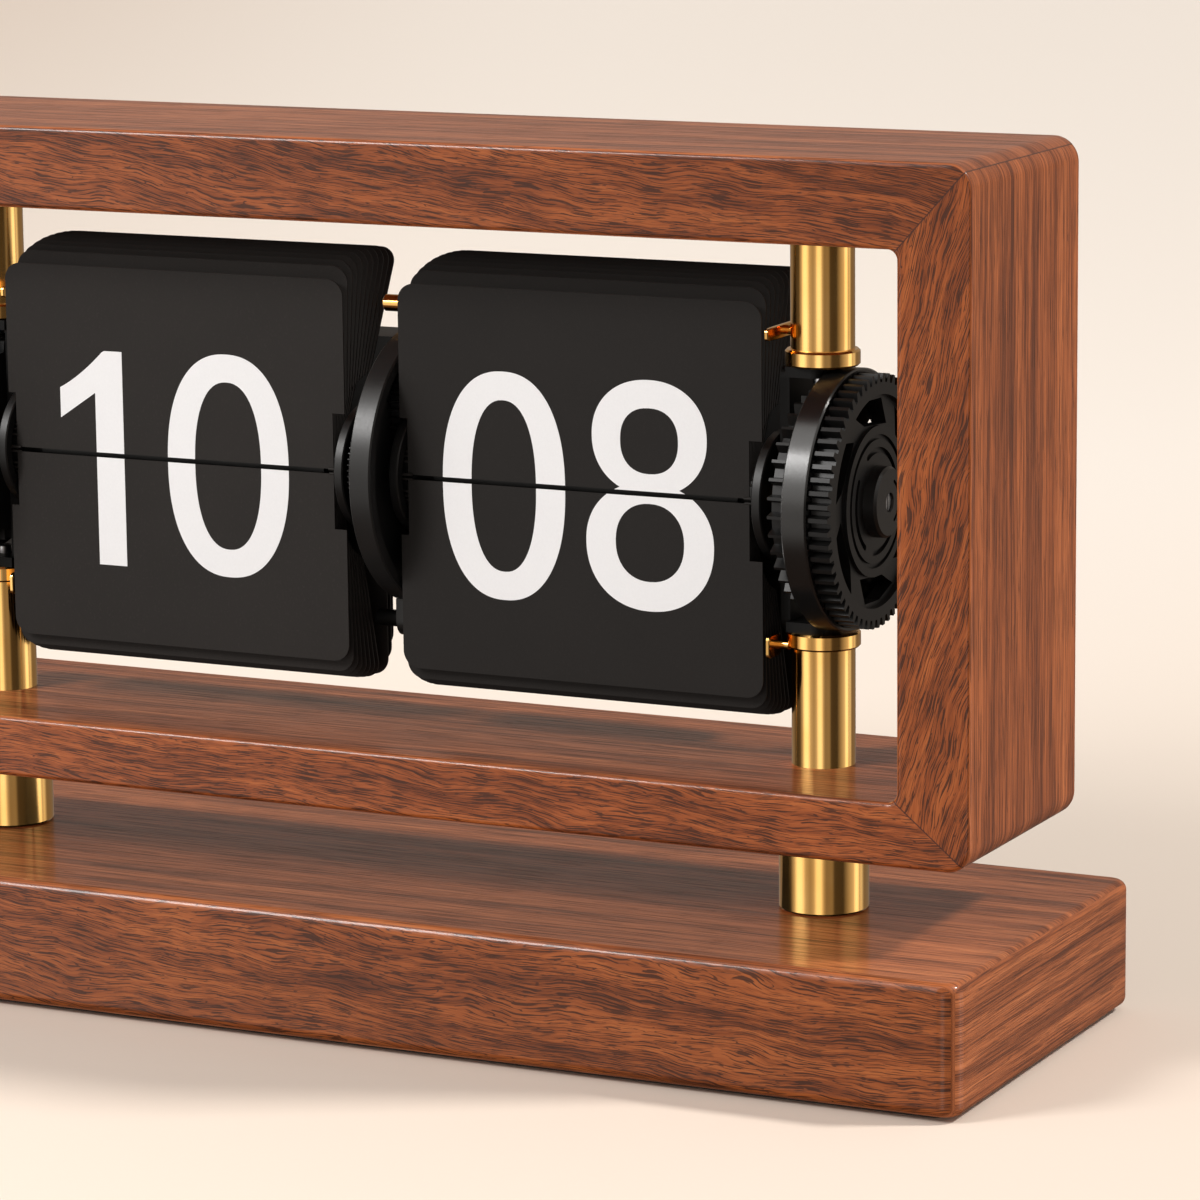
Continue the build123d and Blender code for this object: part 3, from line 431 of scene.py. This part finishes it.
def felt():
    """Black pressed wool with paler fibres."""
    wool = Finish("foot_felt")
    x, y, z = wool.place()
    fibre = wool.noise(wool.vector(x * 3.0, y * 3.0, z * 3.0), 1.0, 4.0, 0.7, 1.5)
    colour = wool.mix(wool.step(fibre, 0.35, 0.70), (0.010, 0.009, 0.009), (0.045, 0.041, 0.038))
    return wool.shade(
        Base_Color=colour,
        Roughness=fibre * 0.05 + 0.92,
        Sheen_Weight=0.3,
        Normal=wool.bump(fibre, 0.2, 0.6),
    )


PALE_BAND = (21.0, 21.4)  # where a cell's pale end starts, from the clock's middle, mm


def cell_wrap():
    """Plain grey cell sleeves, paler towards the clock's two ends."""
    sleeve = Finish("cell_sleeve")
    x, y, z = sleeve.place()
    fine = sleeve.noise(sleeve.vector(x * 0.4, y * 0.4, z * 0.4), 1.0, 2.0, 0.5)
    band = sleeve.step(abs(x), *PALE_BAND)
    colour = sleeve.mix(fine, (0.16, 0.165, 0.17), (0.21, 0.215, 0.22))
    colour = sleeve.mix(band, colour, (0.50, 0.50, 0.49))
    return sleeve.shade(
        Base_Color=colour, Roughness=fine * 0.1 + 0.30, Normal=sleeve.bump(fine, 0.02, 0.2)
    )


def dress(nodes, material):
    """Gives each CAD node named the material."""
    for name in nodes:
        piece = NODES[name]
        if not piece.material_slots:
            piece.data.materials.append(material)
        for place in piece.material_slots:
            place.material = material


def each(*patterns):
    """The CAD nodes whose name holds one of these words."""
    return [n for n in NODES if any(p in n for p in patterns)]


FRAME_LOW = np.minimum(span("frame_left_stile")[0], span("frame_bottom_rail")[0])
FRAME_HIGH = np.maximum(span("frame_right_stile")[1], span("frame_top_rail")[1])
TOP_RAIL_DEPTH = 16.4
BOTTOM_RAIL_DEPTH = 12.4
STILE_WIDTH = 15.0
OPENING = (
    FRAME_LOW[2] + BOTTOM_RAIL_DEPTH,
    FRAME_HIGH[2] - TOP_RAIL_DEPTH,
    FRAME_HIGH[0] - STILE_WIDTH,
)
MITRE = (FRAME_LOW, FRAME_HIGH, OPENING)

# The finish's name, the grain's direction, slope and seed, the tone, and whether the grain wraps
# round the ends.
BOARDS = {
    "base_plinth": ("walnut_base", "X", -3.0, 3.0, (1.15, 1.16, 1.05), True),
    "frame_top_rail": ("walnut_top_rail", "X", -7.0, 11.0, (0.98, 0.95, 0.88), False, MITRE),
    "frame_bottom_rail": ("walnut_bottom_rail", "X", -4.0, 23.0, (1.22, 1.2, 1.1), False, MITRE),
    "frame_left_stile": ("walnut_left_stile", "Z", 8.0, 37.0, (1.10, 1.04, 0.86), False, MITRE),
    "frame_right_stile": ("walnut_right_stile", "Z", 16.0, 41.0, (1.10, 1.04, 0.86), False, MITRE),
}
for board, looks in BOARDS.items():
    dress([board], board_finish(*looks))

# Brass and black mouldings mirror the bright room past these pieces.
for unseen in each("stile", "bottom_rail", "base_plinth", "leaves_upper", "leaf_falling"):
    NODES[unseen].visible_glossy = False
dress(["foot_pad"], felt())
dress(each("spacer", "pillar", "collars"), brass("turned_brass", grooves=0.85))
dress(each("guide_bar_top", "bush", "sleeve"), brass("drawn_brass"))
dress(
    each("fixing_screws", "spindle", "battery_contacts", "motor", "drive_shaft", "knob_screw"),
    steel(),
)
# Painted light: the hour cards get a paler tone than the minute cards, standing in for the brighter
# light on the hour stack.
for unit, tone in (("minute", 0.0135), ("hour", 0.0190)):
    names = [n for n in each("leaf_falling", "leaves") if n.startswith(unit)]
    dress(names, card(unit + "_card", tone))
dress(
    each("drum_core", "disc_inner", "disc_outer", "fine_wheel", "face_wheel", "transfer"),
    moulded_black("wheel_black", tone=0.006, rough=0.30, grain=0.35, shine=0.35),
)
dress(
    each("ring_wheel"),
    moulded_black("ring_black", tone=0.007, rough=0.14, grain=0.5, shine=0.7),
)
dress(
    ["centre_plate"],
    moulded_black("plate_black", tone=0.014, rough=0.23, grain=0.5, shine=0.32),
)
dress(
    ["minute_knob", "hour_knob"],
    moulded_black("knob_black", tone=0.009, rough=0.26, grain=0.5, shine=0.5),
)
# Painted shade: the brackets and the bottom guide bar get the darkest black of all the mouldings,
# so that they sink into the shade behind the drums.
dress(
    each("end_bracket", "guide_bar_bottom"),
    moulded_black("bracket_black", tone=0.004, rough=0.42, grain=0.25, shine=0.15),
)
dress(
    each("housing", "battery_cover"),
    moulded_black("housing_black", tone=0.008, rough=0.46, grain=0.45, shine=0.3),
)
dress(["battery_cells"], cell_wrap())


# ---------------------------------------------------------------- meshes
def grid_faces(rows, columns, start):
    """Four-cornered faces of a grid of points numbered row by row from start."""
    index = np.arange(rows * columns).reshape(rows, columns) + start
    corners = (index[:-1, :-1], index[:-1, 1:], index[1:, 1:], index[1:, :-1])
    return np.stack([c.ravel() for c in corners], axis=1)


def add_piece(name, points, faces, material, body, weld, mend):
    """Adds a mesh from points in millimetres. Points closer than weld are joined, mend puts the
    result right, and the piece rides the body."""
    mesh = bpy.data.meshes.new(name)
    mesh.from_pydata((points * MM).tolist(), [], faces.tolist())
    work = bmesh.new()
    work.from_mesh(mesh)
    bmesh.ops.remove_doubles(work, verts=work.verts, dist=weld * MM)
    mend(work)
    work.to_mesh(mesh)
    work.free()
    mesh.materials.append(material)
    piece = bpy.data.objects.new(name, mesh)
    bpy.context.scene.collection.objects.link(piece)
    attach(piece, body)
    return piece


# ---------------------------------------------------------------- printed figures
# A bowl is (widest level, half-width there, reach above, reach below, power).
def bowl(z, middle, half, above, below, power):
    """Half-width of a rounded form at height z: half * (1 - |z - middle|^p / reach^p)^(1/p), with
    its own reach above and below its widest level, and nothing past it."""
    reach = np.where(z >= middle, above, below)
    left = np.clip(1.0 - np.abs((z - middle) / reach) ** power, 0.0, 1.0)
    return half * left ** (1.0 / power)


def widest(z, bowls):
    return np.max([bowl(z, *b) for b in bowls], axis=0)


def levels(low, high, bowls):
    """Heights from low to high, with every bowl's top and bottom among them, and closer together
    near each of those, by half a cosine, so that the round ends stay round."""
    keys = {low, high}
    for middle, _, above, below, _ in bowls:
        keys |= {k for k in (middle + above, middle - below) if low < k < high}
    keys = sorted(keys)
    turn = 0.5 - 0.5 * np.cos(np.linspace(0.0, math.pi, ROWS))
    parts = [a + (b - a) * turn[:-1] for a, b in zip(keys[:-1], keys[1:])]
    return np.append(np.concatenate(parts), keys[-1])


def half_patch(inner, outer, low, high, side):
    """A grid to one side of the middle line: u runs from the widest of the inner bowls to the
    widest of the outer ones, and v over the heights."""
    z = levels(low, high, inner + outer)
    near, far = widest(z, inner), widest(z, outer)
    u = np.linspace(0.0, 1.0, COLUMNS)[None, :]
    across = near[:, None] + (far - near)[:, None] * u
    heights = np.broadcast_to(z[:, None], across.shape)
    return (across, heights) if side > 0 else (-across[:, ::-1], heights)


def round_figure(form, low, high):
    """Patches of a figure that is the same on both sides of its middle line."""
    outer, counter = form
    low = max(low, min(middle - below for middle, _, _, below, _ in outer))
    high = min(high, max(middle + above for middle, _, above, _, _ in outer))
    return [half_patch(counter, outer, low, high, side) for side in (1, -1)]


def nought(half):
    """Draws a nought of the given half-width."""
    outer = (-FIGURE_DROP, half, ZERO_HALF_HEIGHT, ZERO_HALF_HEIGHT, 2.3)
    counter = (-FIGURE_DROP, half - STROKE, COUNTER_HALF_HEIGHT, COUNTER_HALF_HEIGHT, 2.3)
    return lambda low, high: round_figure(([outer], [counter]), low, high)


EIGHT_FORM = (  # outer bowls, then counters
    [(11.0, 12.3, 11.3, 11.3, 2.15), (-9.8, 13.7, 12.0, 13.3, 2.15)],
    [(10.35, 6.2, 6.45, 6.45, 2.3), (-9.6, 7.35, 7.7, 7.7, 2.2)],
)


def eight(low, high):
    return round_figure(EIGHT_FORM, low, high)


NINE_RING = (7.75, 13.3, 14.1, 14.1, 2.2)
NINE_EYE = (7.75, 6.95, 8.35, 8.35, 2.3)
NINE_STEM = (-FIGURE_DROP, 13.3, ZERO_HALF_HEIGHT, ZERO_HALF_HEIGHT, 2.3)
NINE_HOLLOW = (-FIGURE_DROP, 6.95, COUNTER_HALF_HEIGHT, COUNTER_HALF_HEIGHT, 2.3)
NINE_JOIN = -4.7  # below this the ring stands clear of the stem
NINE_TIP = -13.5  # top of the tail's end


def nine(low, high):
    """Patches of a nine: a ring, and a nought whose left side is cut away above the tail."""
    if low > 0:
        top = NINE_RING[0] + NINE_RING[2]
        return [
            half_patch([NINE_EYE], [NINE_RING, NINE_STEM], low, top, 1),
            half_patch([NINE_EYE], [NINE_RING], low, top, -1),
        ]
    ring_low = NINE_RING[0] - NINE_RING[3]
    stem_low = NINE_STEM[0] - NINE_STEM[3]
    return [
        half_patch([NINE_EYE], [NINE_RING], ring_low, high, -1),
        half_patch([NINE_EYE], [NINE_STEM], NINE_JOIN, high, 1),
        half_patch([NINE_EYE], [NINE_RING], ring_low, NINE_JOIN, 1),
        half_patch([NINE_HOLLOW], [NINE_STEM], stem_low, NINE_JOIN, 1),
        half_patch([NINE_HOLLOW], [NINE_STEM], stem_low, NINE_TIP, -1),
    ]


ONE_STEM = (-3.25, 3.25)
ONE_FLAG_LEFT = -11.55
ONE_TOP = 21.4
ONE_BOTTOM = -22.7
ONE_SHOULDER = 12.7  # where the flag's underside meets the stem
ONE_FLAG_LOW = 7.2
ONE_FLAG_HIGH = 13.4
ONE_TOP_RUN = 10.4  # from the flag's tip to where its top is as high as the stem
ONE_TOP_RISE = (0.685, 0.315)  # how much of the rise is straight, and how much is a parabola
ONE_COLUMNS = 12


def one_figure(low, high):
    """Patches of a figure one: the stem is a plain band. The flag's underside is straight and its
    top a parabola through its tip and the stem's top."""
    left, right = ONE_STEM
    if high < 0:
        x, z = np.meshgrid(np.linspace(left, right, 3), np.linspace(ONE_BOTTOM, high, 3))
        return [(x, z)]

    def top(x):
        share = np.clip((x - ONE_FLAG_LEFT) / ONE_TOP_RUN, 0.0, 1.0)
        rise = ONE_TOP_RISE[0] * share + ONE_TOP_RISE[1] * share**2
        return ONE_FLAG_HIGH + (ONE_TOP - ONE_FLAG_HIGH) * rise

    v = np.linspace(0.0, 1.0, COLUMNS)[:, None]
    flag_x = np.linspace(ONE_FLAG_LEFT, left, ONE_COLUMNS)[None, :]
    along = (flag_x - ONE_FLAG_LEFT) / (left - ONE_FLAG_LEFT)
    under = ONE_FLAG_LOW + (ONE_SHOULDER - ONE_FLAG_LOW) * along
    stem_x = np.linspace(left, right, ONE_COLUMNS)[None, :]
    flag = np.broadcast_arrays(flag_x, under + (top(flag_x) - under) * v)
    head = np.broadcast_arrays(stem_x, ONE_SHOULDER + (top(stem_x) - ONE_SHOULDER) * v)
    stem = np.broadcast_arrays(stem_x, low + (ONE_SHOULDER - low) * v)
    return [flag, head, stem]


def print_on(name, patches, base, up, body):
    """Puts flat patches, as (x, height) grids, on a card's face as one thin closed layer of ink. A
    point lies at base + height * up, both given as (y, z)."""
    points, faces, start = [], [], 0
    for x, z in patches:
        grid = np.stack([x, base[0] + z * up[0], base[1] + z * up[1]], axis=-1)
        points.append(grid.reshape(-1, 3))
        faces.append(grid_faces(*x.shape, start))
        start += x.size
    piece = add_piece(
        name,
        np.concatenate(points),
        np.concatenate(faces),
        WHITE_INK,
        body,
        INK_WELD,
        lambda work: bmesh.ops.dissolve_degenerate(
            work, edges=work.edges, dist=INK_WELD / 2 * MM
        ),
    )
    layer = piece.modifiers.new("ink_layer", "SOLIDIFY")
    layer.thickness = INK_DEPTH * MM
    layer.offset = 0.7  # most of the layer stands on the card, the rest sinks into it


WHITE_INK = ink()
FIGURE_REACH = 40.0  # past every figure's top and bottom
UPPER_HALF = (CARD_GAP / 2, FIGURE_REACH)
LOWER_HALF = (-FIGURE_REACH, -CARD_GAP / 2)
HOUR_TENS = -15.25  # distances of the figures from the card's middle
MINUTE_TENS = -16.3
MINUTE_UNITS = 15.35
MINUTE_NOUGHT = nought(13.45)
# Each figure's name, its distance from the card's middle and how it is drawn.
SHOWN = {
    "hour": [("one", HOUR_TENS, one_figure), ("nought", 12.3, nought(14.0))],
    "minute": [("nought", MINUTE_TENS, MINUTE_NOUGHT), ("eight", MINUTE_UNITS, eight)],
}
NEXT = {
    "hour": [("tens", HOUR_TENS, one_figure), ("units", 16.4, one_figure)],
    "minute": [("tens", MINUTE_TENS, MINUTE_NOUGHT), ("units", MINUTE_UNITS, nine)],
}
# The leaf that waits behind the front one: its ear circle and angle, and its lean.
WAITING_EAR_CIRCLE = 9.3
WAITING_EAR_ANGLE = math.radians(18.5)
WAITING_LEAN = math.radians(2.764)


def waiting_face(hinge_z):
    """Where the waiting leaf's front face, drawn on below its heel, has a figure's height 0, and
    the way up along it."""
    up = np.array([math.sin(WAITING_LEAN), math.cos(WAITING_LEAN)])
    outward = np.array([-up[1], up[0]])
    ear = WAITING_EAR_CIRCLE * np.array([-math.cos(WAITING_EAR_ANGLE), math.sin(WAITING_EAR_ANGLE)])
    face = ear + (0.0, AXIS_Z) + outward * CARD_THICKNESS / 2
    return face - up * (hinge_z - AXIS_Z), up


def print_number(unit, when, figures, half, base, up, body):
    """One half of a two-figure number on one card. when begins the pieces' names."""
    low, high = span(unit + "_leaf_falling")
    card_middle = (low[0] + high[0]) / 2
    reach = UPPER_HALF if half == "upper" else LOWER_HALF
    for figure, shift, draw in figures:
        patches = [(x + card_middle + shift, z) for x, z in draw(*reach)]
        print_on(f"{when}{unit}_{figure}_{half}", patches, base, up, body)


for unit in ("hour", "minute"):
    _, hinge_y, hinge_z = joint_place(unit + "_flip")
    card_y = hinge_y + HINGE_TO_CARD
    flap = unit + "_flap"
    front = (card_y - CARD_THICKNESS / 2, AXIS_Z)
    back = (card_y + CARD_THICKNESS / 2, 2 * hinge_z - AXIS_Z)
    print_number(unit, "", SHOWN[unit], "upper", front, (0.0, 1.0), flap)
    print_number(unit, "", SHOWN[unit], "lower", front, (0.0, 1.0), "case")
    print_number(unit, "next_", NEXT[unit], "lower", back, (0.0, -1.0), flap)
    print_number(unit, "next_", NEXT[unit], "upper", *waiting_face(hinge_z), "case")


# ---------------------------------------------------------------- leaf guides on the pillars
GUIDE_X = (85.2, 86.0)
GUIDE_STUD = 0.9  # radius
GUIDE_GRIP = 0.4  # how deep the stud sits in what carries it
GUIDE_ARRIS = 0.15
GUIDE_SQUARENESS = 6.0  # the power of the plate's outline: 2 would be round
GUIDE_WELD = 0.001  # as INK_WELD
STUD_SINK = 0.1  # how deep the stud sits in the plate
STUD_ARRIS = 0.05
ROUND = 2.0
RIM_POINTS = 48
GUIDES = {  # heights, depths, depth of the stud, and the piece that carries it
    "upper": ((138.4, 141.0), (-9.4, 9.4), 0.0, "pillar_upper_right"),
    "lower": ((76.9, 81.3), (-9.4, -3.6), -4.9, "collars_right"),
}


def cake(x, y, z, power, edge):
    """A closed solid along X between the two values of x. Its section is a superellipse of the
    given power that fills y by z, drawn in by edge at both ends, and each end is closed at a middle
    point."""
    turn = np.linspace(0.0, 2.0 * math.pi, RIM_POINTS + 1)
    along = np.array([x[0], x[0], x[0] + edge, x[1] - edge, x[1], x[1]])
    inset = np.array([1.0, edge, 0.0, 0.0, edge, 1.0])
    half_y, half_z = (y[1] - y[0]) / 2.0, (z[1] - z[0]) / 2.0
    reach_y = np.where(inset < 1.0, half_y - inset, 0.0)[:, None]
    reach_z = np.where(inset < 1.0, half_z - inset, 0.0)[:, None]
    cosine, sine = np.cos(turn), np.sin(turn)
    out_y = np.sign(cosine) * np.abs(cosine) ** (2.0 / power)
    out_z = np.sign(sine) * np.abs(sine) ** (2.0 / power)
    grid = np.stack(
        [
            np.broadcast_to(along[:, None], (len(along), len(turn))),
            (y[0] + y[1]) / 2.0 + reach_y * out_y,
            (z[0] + z[1]) / 2.0 + reach_z * out_z,
        ],
        axis=-1,
    )
    return grid.reshape(-1, 3), grid_faces(len(along), len(turn), 0)


def leaf_guide(name, side, z, y, root, carrier):
    """A thin brass plate beside the leaves' ends, on a short stud from its pillar or collar."""
    plate, plate_faces = cake(GUIDE_X, y, z, GUIDE_SQUARENESS, GUIDE_ARRIS)
    low, high = span(carrier)
    radius = (high[0] - low[0]) / 2.0
    reach = low[0] + radius - math.sqrt(radius**2 - root**2) + GUIDE_GRIP
    middle = (z[0] + z[1]) / 2.0
    stud, stud_faces = cake(
        (GUIDE_X[1] - STUD_SINK, reach),
        (root - GUIDE_STUD, root + GUIDE_STUD),
        (middle - GUIDE_STUD, middle + GUIDE_STUD),
        ROUND,
        STUD_ARRIS,
    )
    add_piece(
        name,
        np.concatenate([plate, stud]) * (side, 1.0, 1.0),
        np.concatenate([plate_faces, stud_faces + len(plate)]),
        GUIDE_BRASS,
        "case",
        GUIDE_WELD,
        lambda work: bmesh.ops.recalc_face_normals(work, faces=work.faces),
    )


GUIDE_BRASS = brass("rolled_brass")
for hand, side in (("left", -1.0), ("right", 1.0)):
    for level, place in GUIDES.items():
        leaf_guide(f"leaf_guide_{level}_{hand}", side, *place)


# ---------------------------------------------------------------- table, lights, camera
CAMERA_PLACE = (0.4915, -0.9061, 0.2773)
CAMERA_TURN = 26.25
CAMERA_DIP = 10.85
CAMERA_ROLL = -0.61
CAMERA_FOCUS = 5219.0  # pixels, for a picture that is PICTURE pixels wide
CAMERA_SHIFT = (2.7, 0.7)  # pixels
PICTURE = 1200.0
SENSOR = 36.0

TABLE_BRIGHT = (0.95, 0.855, 0.765)
TABLE_SHADED = (0.80, 0.67, 0.565)
TABLE_NEAR_SHADE = (0.86, 0.735, 0.625)
TABLE_FLECKS = (0.60, 0.50, 0.42)
TABLE_BOUNCE = (0.66, 0.645, 0.63)
TABLE_SIZE = 14.0  # metres
TONE_ACROSS = (-480.0, 60.0)  # from shaded to bright, across the view, mm
TONE_AHEAD = (50.0, 700.0)  # from the painted shade near the clock to far, along the view, mm


def table_top():
    """A wide pale table, nearly plain, with painted shade towards the left and the front that only
    the camera sees. What it throws back on the clock is nearly neutral."""
    top = Finish("pale_table")
    x, y, z = top.place()
    grain = top.noise(top.vector(x * 0.9, y * 0.9, z), 1.0, 3.0, 0.6)
    turn = math.radians(CAMERA_TURN)
    across = x * math.cos(turn) + y * math.sin(turn)
    ahead = y * math.cos(turn) - x * math.sin(turn)
    # Painted shade: darker towards the left across the view, and towards the front near the clock.
    colour = top.mix(top.step(across, *TONE_ACROSS), TABLE_SHADED, TABLE_BRIGHT)
    colour = top.mix(top.step(ahead, *TONE_AHEAD), TABLE_NEAR_SHADE, colour)
    colour = top.mix(grain * 0.06, colour, TABLE_FLECKS)
    path = top.node("ShaderNodeLightPath", out="Is Camera Ray")
    colour = top.mix(path, TABLE_BOUNCE, colour)
    return top.shade(
        Base_Color=colour, Roughness=grain * 0.05 + 0.80, Normal=top.bump(grain, 0.05, 0.15)
    )


bpy.ops.mesh.primitive_plane_add(size=TABLE_SIZE)
table = bpy.context.object
table.name = "table_top"
table.visible_glossy = False
table.data.materials.append(table_top())


# What reflections see round the room, as (azimuth, level): 0 is the front, 90 the right.
LOW_ROOM = (
    (-180, 0.20),
    (-150, 0.25),
    (-117, 0.25),
    (-88, 0.08),
    (-70, 0.10),
    (-58, 0.60),
    (-48, 1.60),
    (-36, 1.60),
    (-24, 0.60),
    (-12, 0.42),
    (-3, 0.60),
    (6, 1.50),
    (15, 1.50),
    (23, 0.55),
    (29, 0.28),
    (44, 0.30),
    (51, 0.07),
    (74, 0.05),
    (88, 0.36),
    (105, 0.75),
    (112, 1.60),
    (120, 1.60),
    (126, 0.60),
    (134, 0.90),
    (146, 0.22),
)
HIGH_ROOM = (
    (-180, 0.34),
    (-120, 0.30),
    (-70, 0.25),
    (-54, 2.40),
    (-32, 2.40),
    (-12, 0.35),
    (5, 0.60),
    (40, 0.50),
    (60, 0.20),
    (80, 0.90),
    (105, 0.90),
    (130, 0.34),
    (160, 0.32),
)
WARM_GREY = np.array((1.0, 0.965, 0.925))
SHADE_WARMTH = np.array((0.0, 0.16, 0.30))  # what the room's dark parts lose of each colour
DARK_BELOW = (0.10, 0.055, 0.035)  # what is seen steeply below: the wood that carries the clock
HORIZON = (0.0, 0.12)  # sines of the elevations from the low room to the high one
STEEP = (-0.55, -0.28)  # and from what is steeply below to the room
AMBIENT = 0.42
BACKDROP = (0.86, 0.77, 0.69)


def room_stops(room):
    """Ramp stops for a share that runs from 0 at azimuth -180 to 1 at 180."""
    stops = []
    for azimuth, level in room:
        shade = max(0.0, 1.0 - level) * SHADE_WARMTH
        stops.append((azimuth / 360 + 0.5, tuple(WARM_GREY * level * (1.0 - shade))))
    return stops


def studio_world():
    """Even pale light. Reflections see a room of bright and dark upright bands, set by the
    direction's azimuth, with broader and softer ones above the horizon than below it. The camera
    sees a plain backdrop."""
    world = bpy.data.worlds.new("studio")
    world.use_nodes = True
    bpy.context.scene.world = world
    world.node_tree.nodes.clear()
    room = Finish("studio", world.node_tree)
    spot = room.node("ShaderNodeTexCoord", out="Generated")
    east, north, up = room.split(spot)
    turn = room.node(
        "ShaderNodeMath", {"operation": "ARCTAN2"}, {0: east, 1: north * -1.0}
    )
    share = turn / (2 * math.pi) + 0.5
    seen = room.mix(
        room.step(up, *HORIZON),
        room.ramp(share, room_stops(LOW_ROOM)),
        room.ramp(share, room_stops(HIGH_ROOM)),
    )
    seen = room.mix(room.step(up, *STEEP), DARK_BELOW, seen)
    ambient = room.node("ShaderNodeBackground", None, {0: (1.0, 1.0, 1.0), 1: AMBIENT})
    mirrored = room.node("ShaderNodeBackground", None, {0: seen, 1: 1.0})
    shown = room.node("ShaderNodeBackground", None, {0: BACKDROP, 1: 1.0})
    path = room.tree.nodes.new("ShaderNodeLightPath")
    glossy = Socket(room, path.outputs["Is Glossy Ray"])
    through = Socket(room, path.outputs["Is Transmission Ray"])
    camera_ray = Socket(room, path.outputs["Is Camera Ray"])
    lit = room.node(
        "ShaderNodeMixShader", None, {0: glossy.math("MAXIMUM", through), 1: ambient, 2: mirrored}
    )
    final = room.node("ShaderNodeMixShader", None, {0: camera_ray, 1: lit, 2: shown})
    output = room.tree.nodes.new("ShaderNodeOutputWorld")
    room.tree.links.new(final.out, output.inputs["Surface"])


studio_world()


CLOCK_MIDDLE = Vector((0.0, 0.0, 0.09))


def lamp(name, kind, toward, power, colour, distance, size=None, spread=None):
    """A lamp that shines at the clock's middle from the direction toward, given as azimuth and
    elevation in degrees: azimuth 0 is the front, 90 the right. An area lamp has a size in metres,
    a sun a spread in degrees."""
    azimuth, elevation = (math.radians(a) for a in toward)
    back = Vector(
        (
            math.sin(azimuth) * math.cos(elevation),
            -math.cos(azimuth) * math.cos(elevation),
            math.sin(elevation),
        )
    )
    data = bpy.data.lights.new(name, kind)
    data.energy = power
    data.color = colour
    if kind == "AREA":
        data.shape = "RECTANGLE"
        data.size, data.size_y = size
    if kind == "SUN":
        data.angle = math.radians(spread)
    piece = bpy.data.objects.new(name, data)
    bpy.context.scene.collection.objects.link(piece)
    piece.location = CLOCK_MIDDLE + back * distance
    piece.rotation_euler = (-back).to_track_quat("-Z", "Y").to_euler()


lamp(
    "window_sun",
    "SUN",
    toward=(115.0, 48.0),
    power=2.15,
    colour=(1.0, 0.97, 0.93),
    distance=3.0,
    spread=7.0,
)
lamp(
    "front_panel",
    "AREA",
    toward=(-36.0, 34.0),
    power=14.0,
    colour=(1.0, 0.985, 0.975),
    distance=1.5,
    size=(0.42, 0.5),
)


def camera():
    """Camera at the viewing angle: yaw round Z, then the dip below the horizon, then the roll."""
    yaw, dip, roll = (math.radians(a) for a in (CAMERA_TURN, CAMERA_DIP, CAMERA_ROLL))
    right = Vector((math.cos(yaw), math.sin(yaw), 0.0))
    ahead = Vector((-math.sin(yaw), math.cos(yaw), 0.0))
    up = Vector((0.0, 0.0, 1.0))
    view = ahead * math.cos(dip) - up * math.sin(dip)
    top = ahead * math.sin(dip) + up * math.cos(dip)
    side = right * math.cos(roll) + top * math.sin(roll)
    top = top * math.cos(roll) - right * math.sin(roll)
    data = bpy.data.cameras.new("camera")
    data.sensor_width = SENSOR
    data.lens = CAMERA_FOCUS / PICTURE * SENSOR
    data.shift_x = CAMERA_SHIFT[0] / PICTURE
    data.shift_y = CAMERA_SHIFT[1] / PICTURE
    data.clip_start = 0.05
    data.clip_end = 50.0
    piece = bpy.data.objects.new("camera", data)
    bpy.context.scene.collection.objects.link(piece)
    turn = Matrix((side, top, -view)).transposed().to_4x4()
    piece.matrix_world = Matrix.Translation(CAMERA_PLACE) @ turn
    bpy.context.scene.camera = piece


camera()
bpy.context.scene.view_settings.view_transform = "Standard"
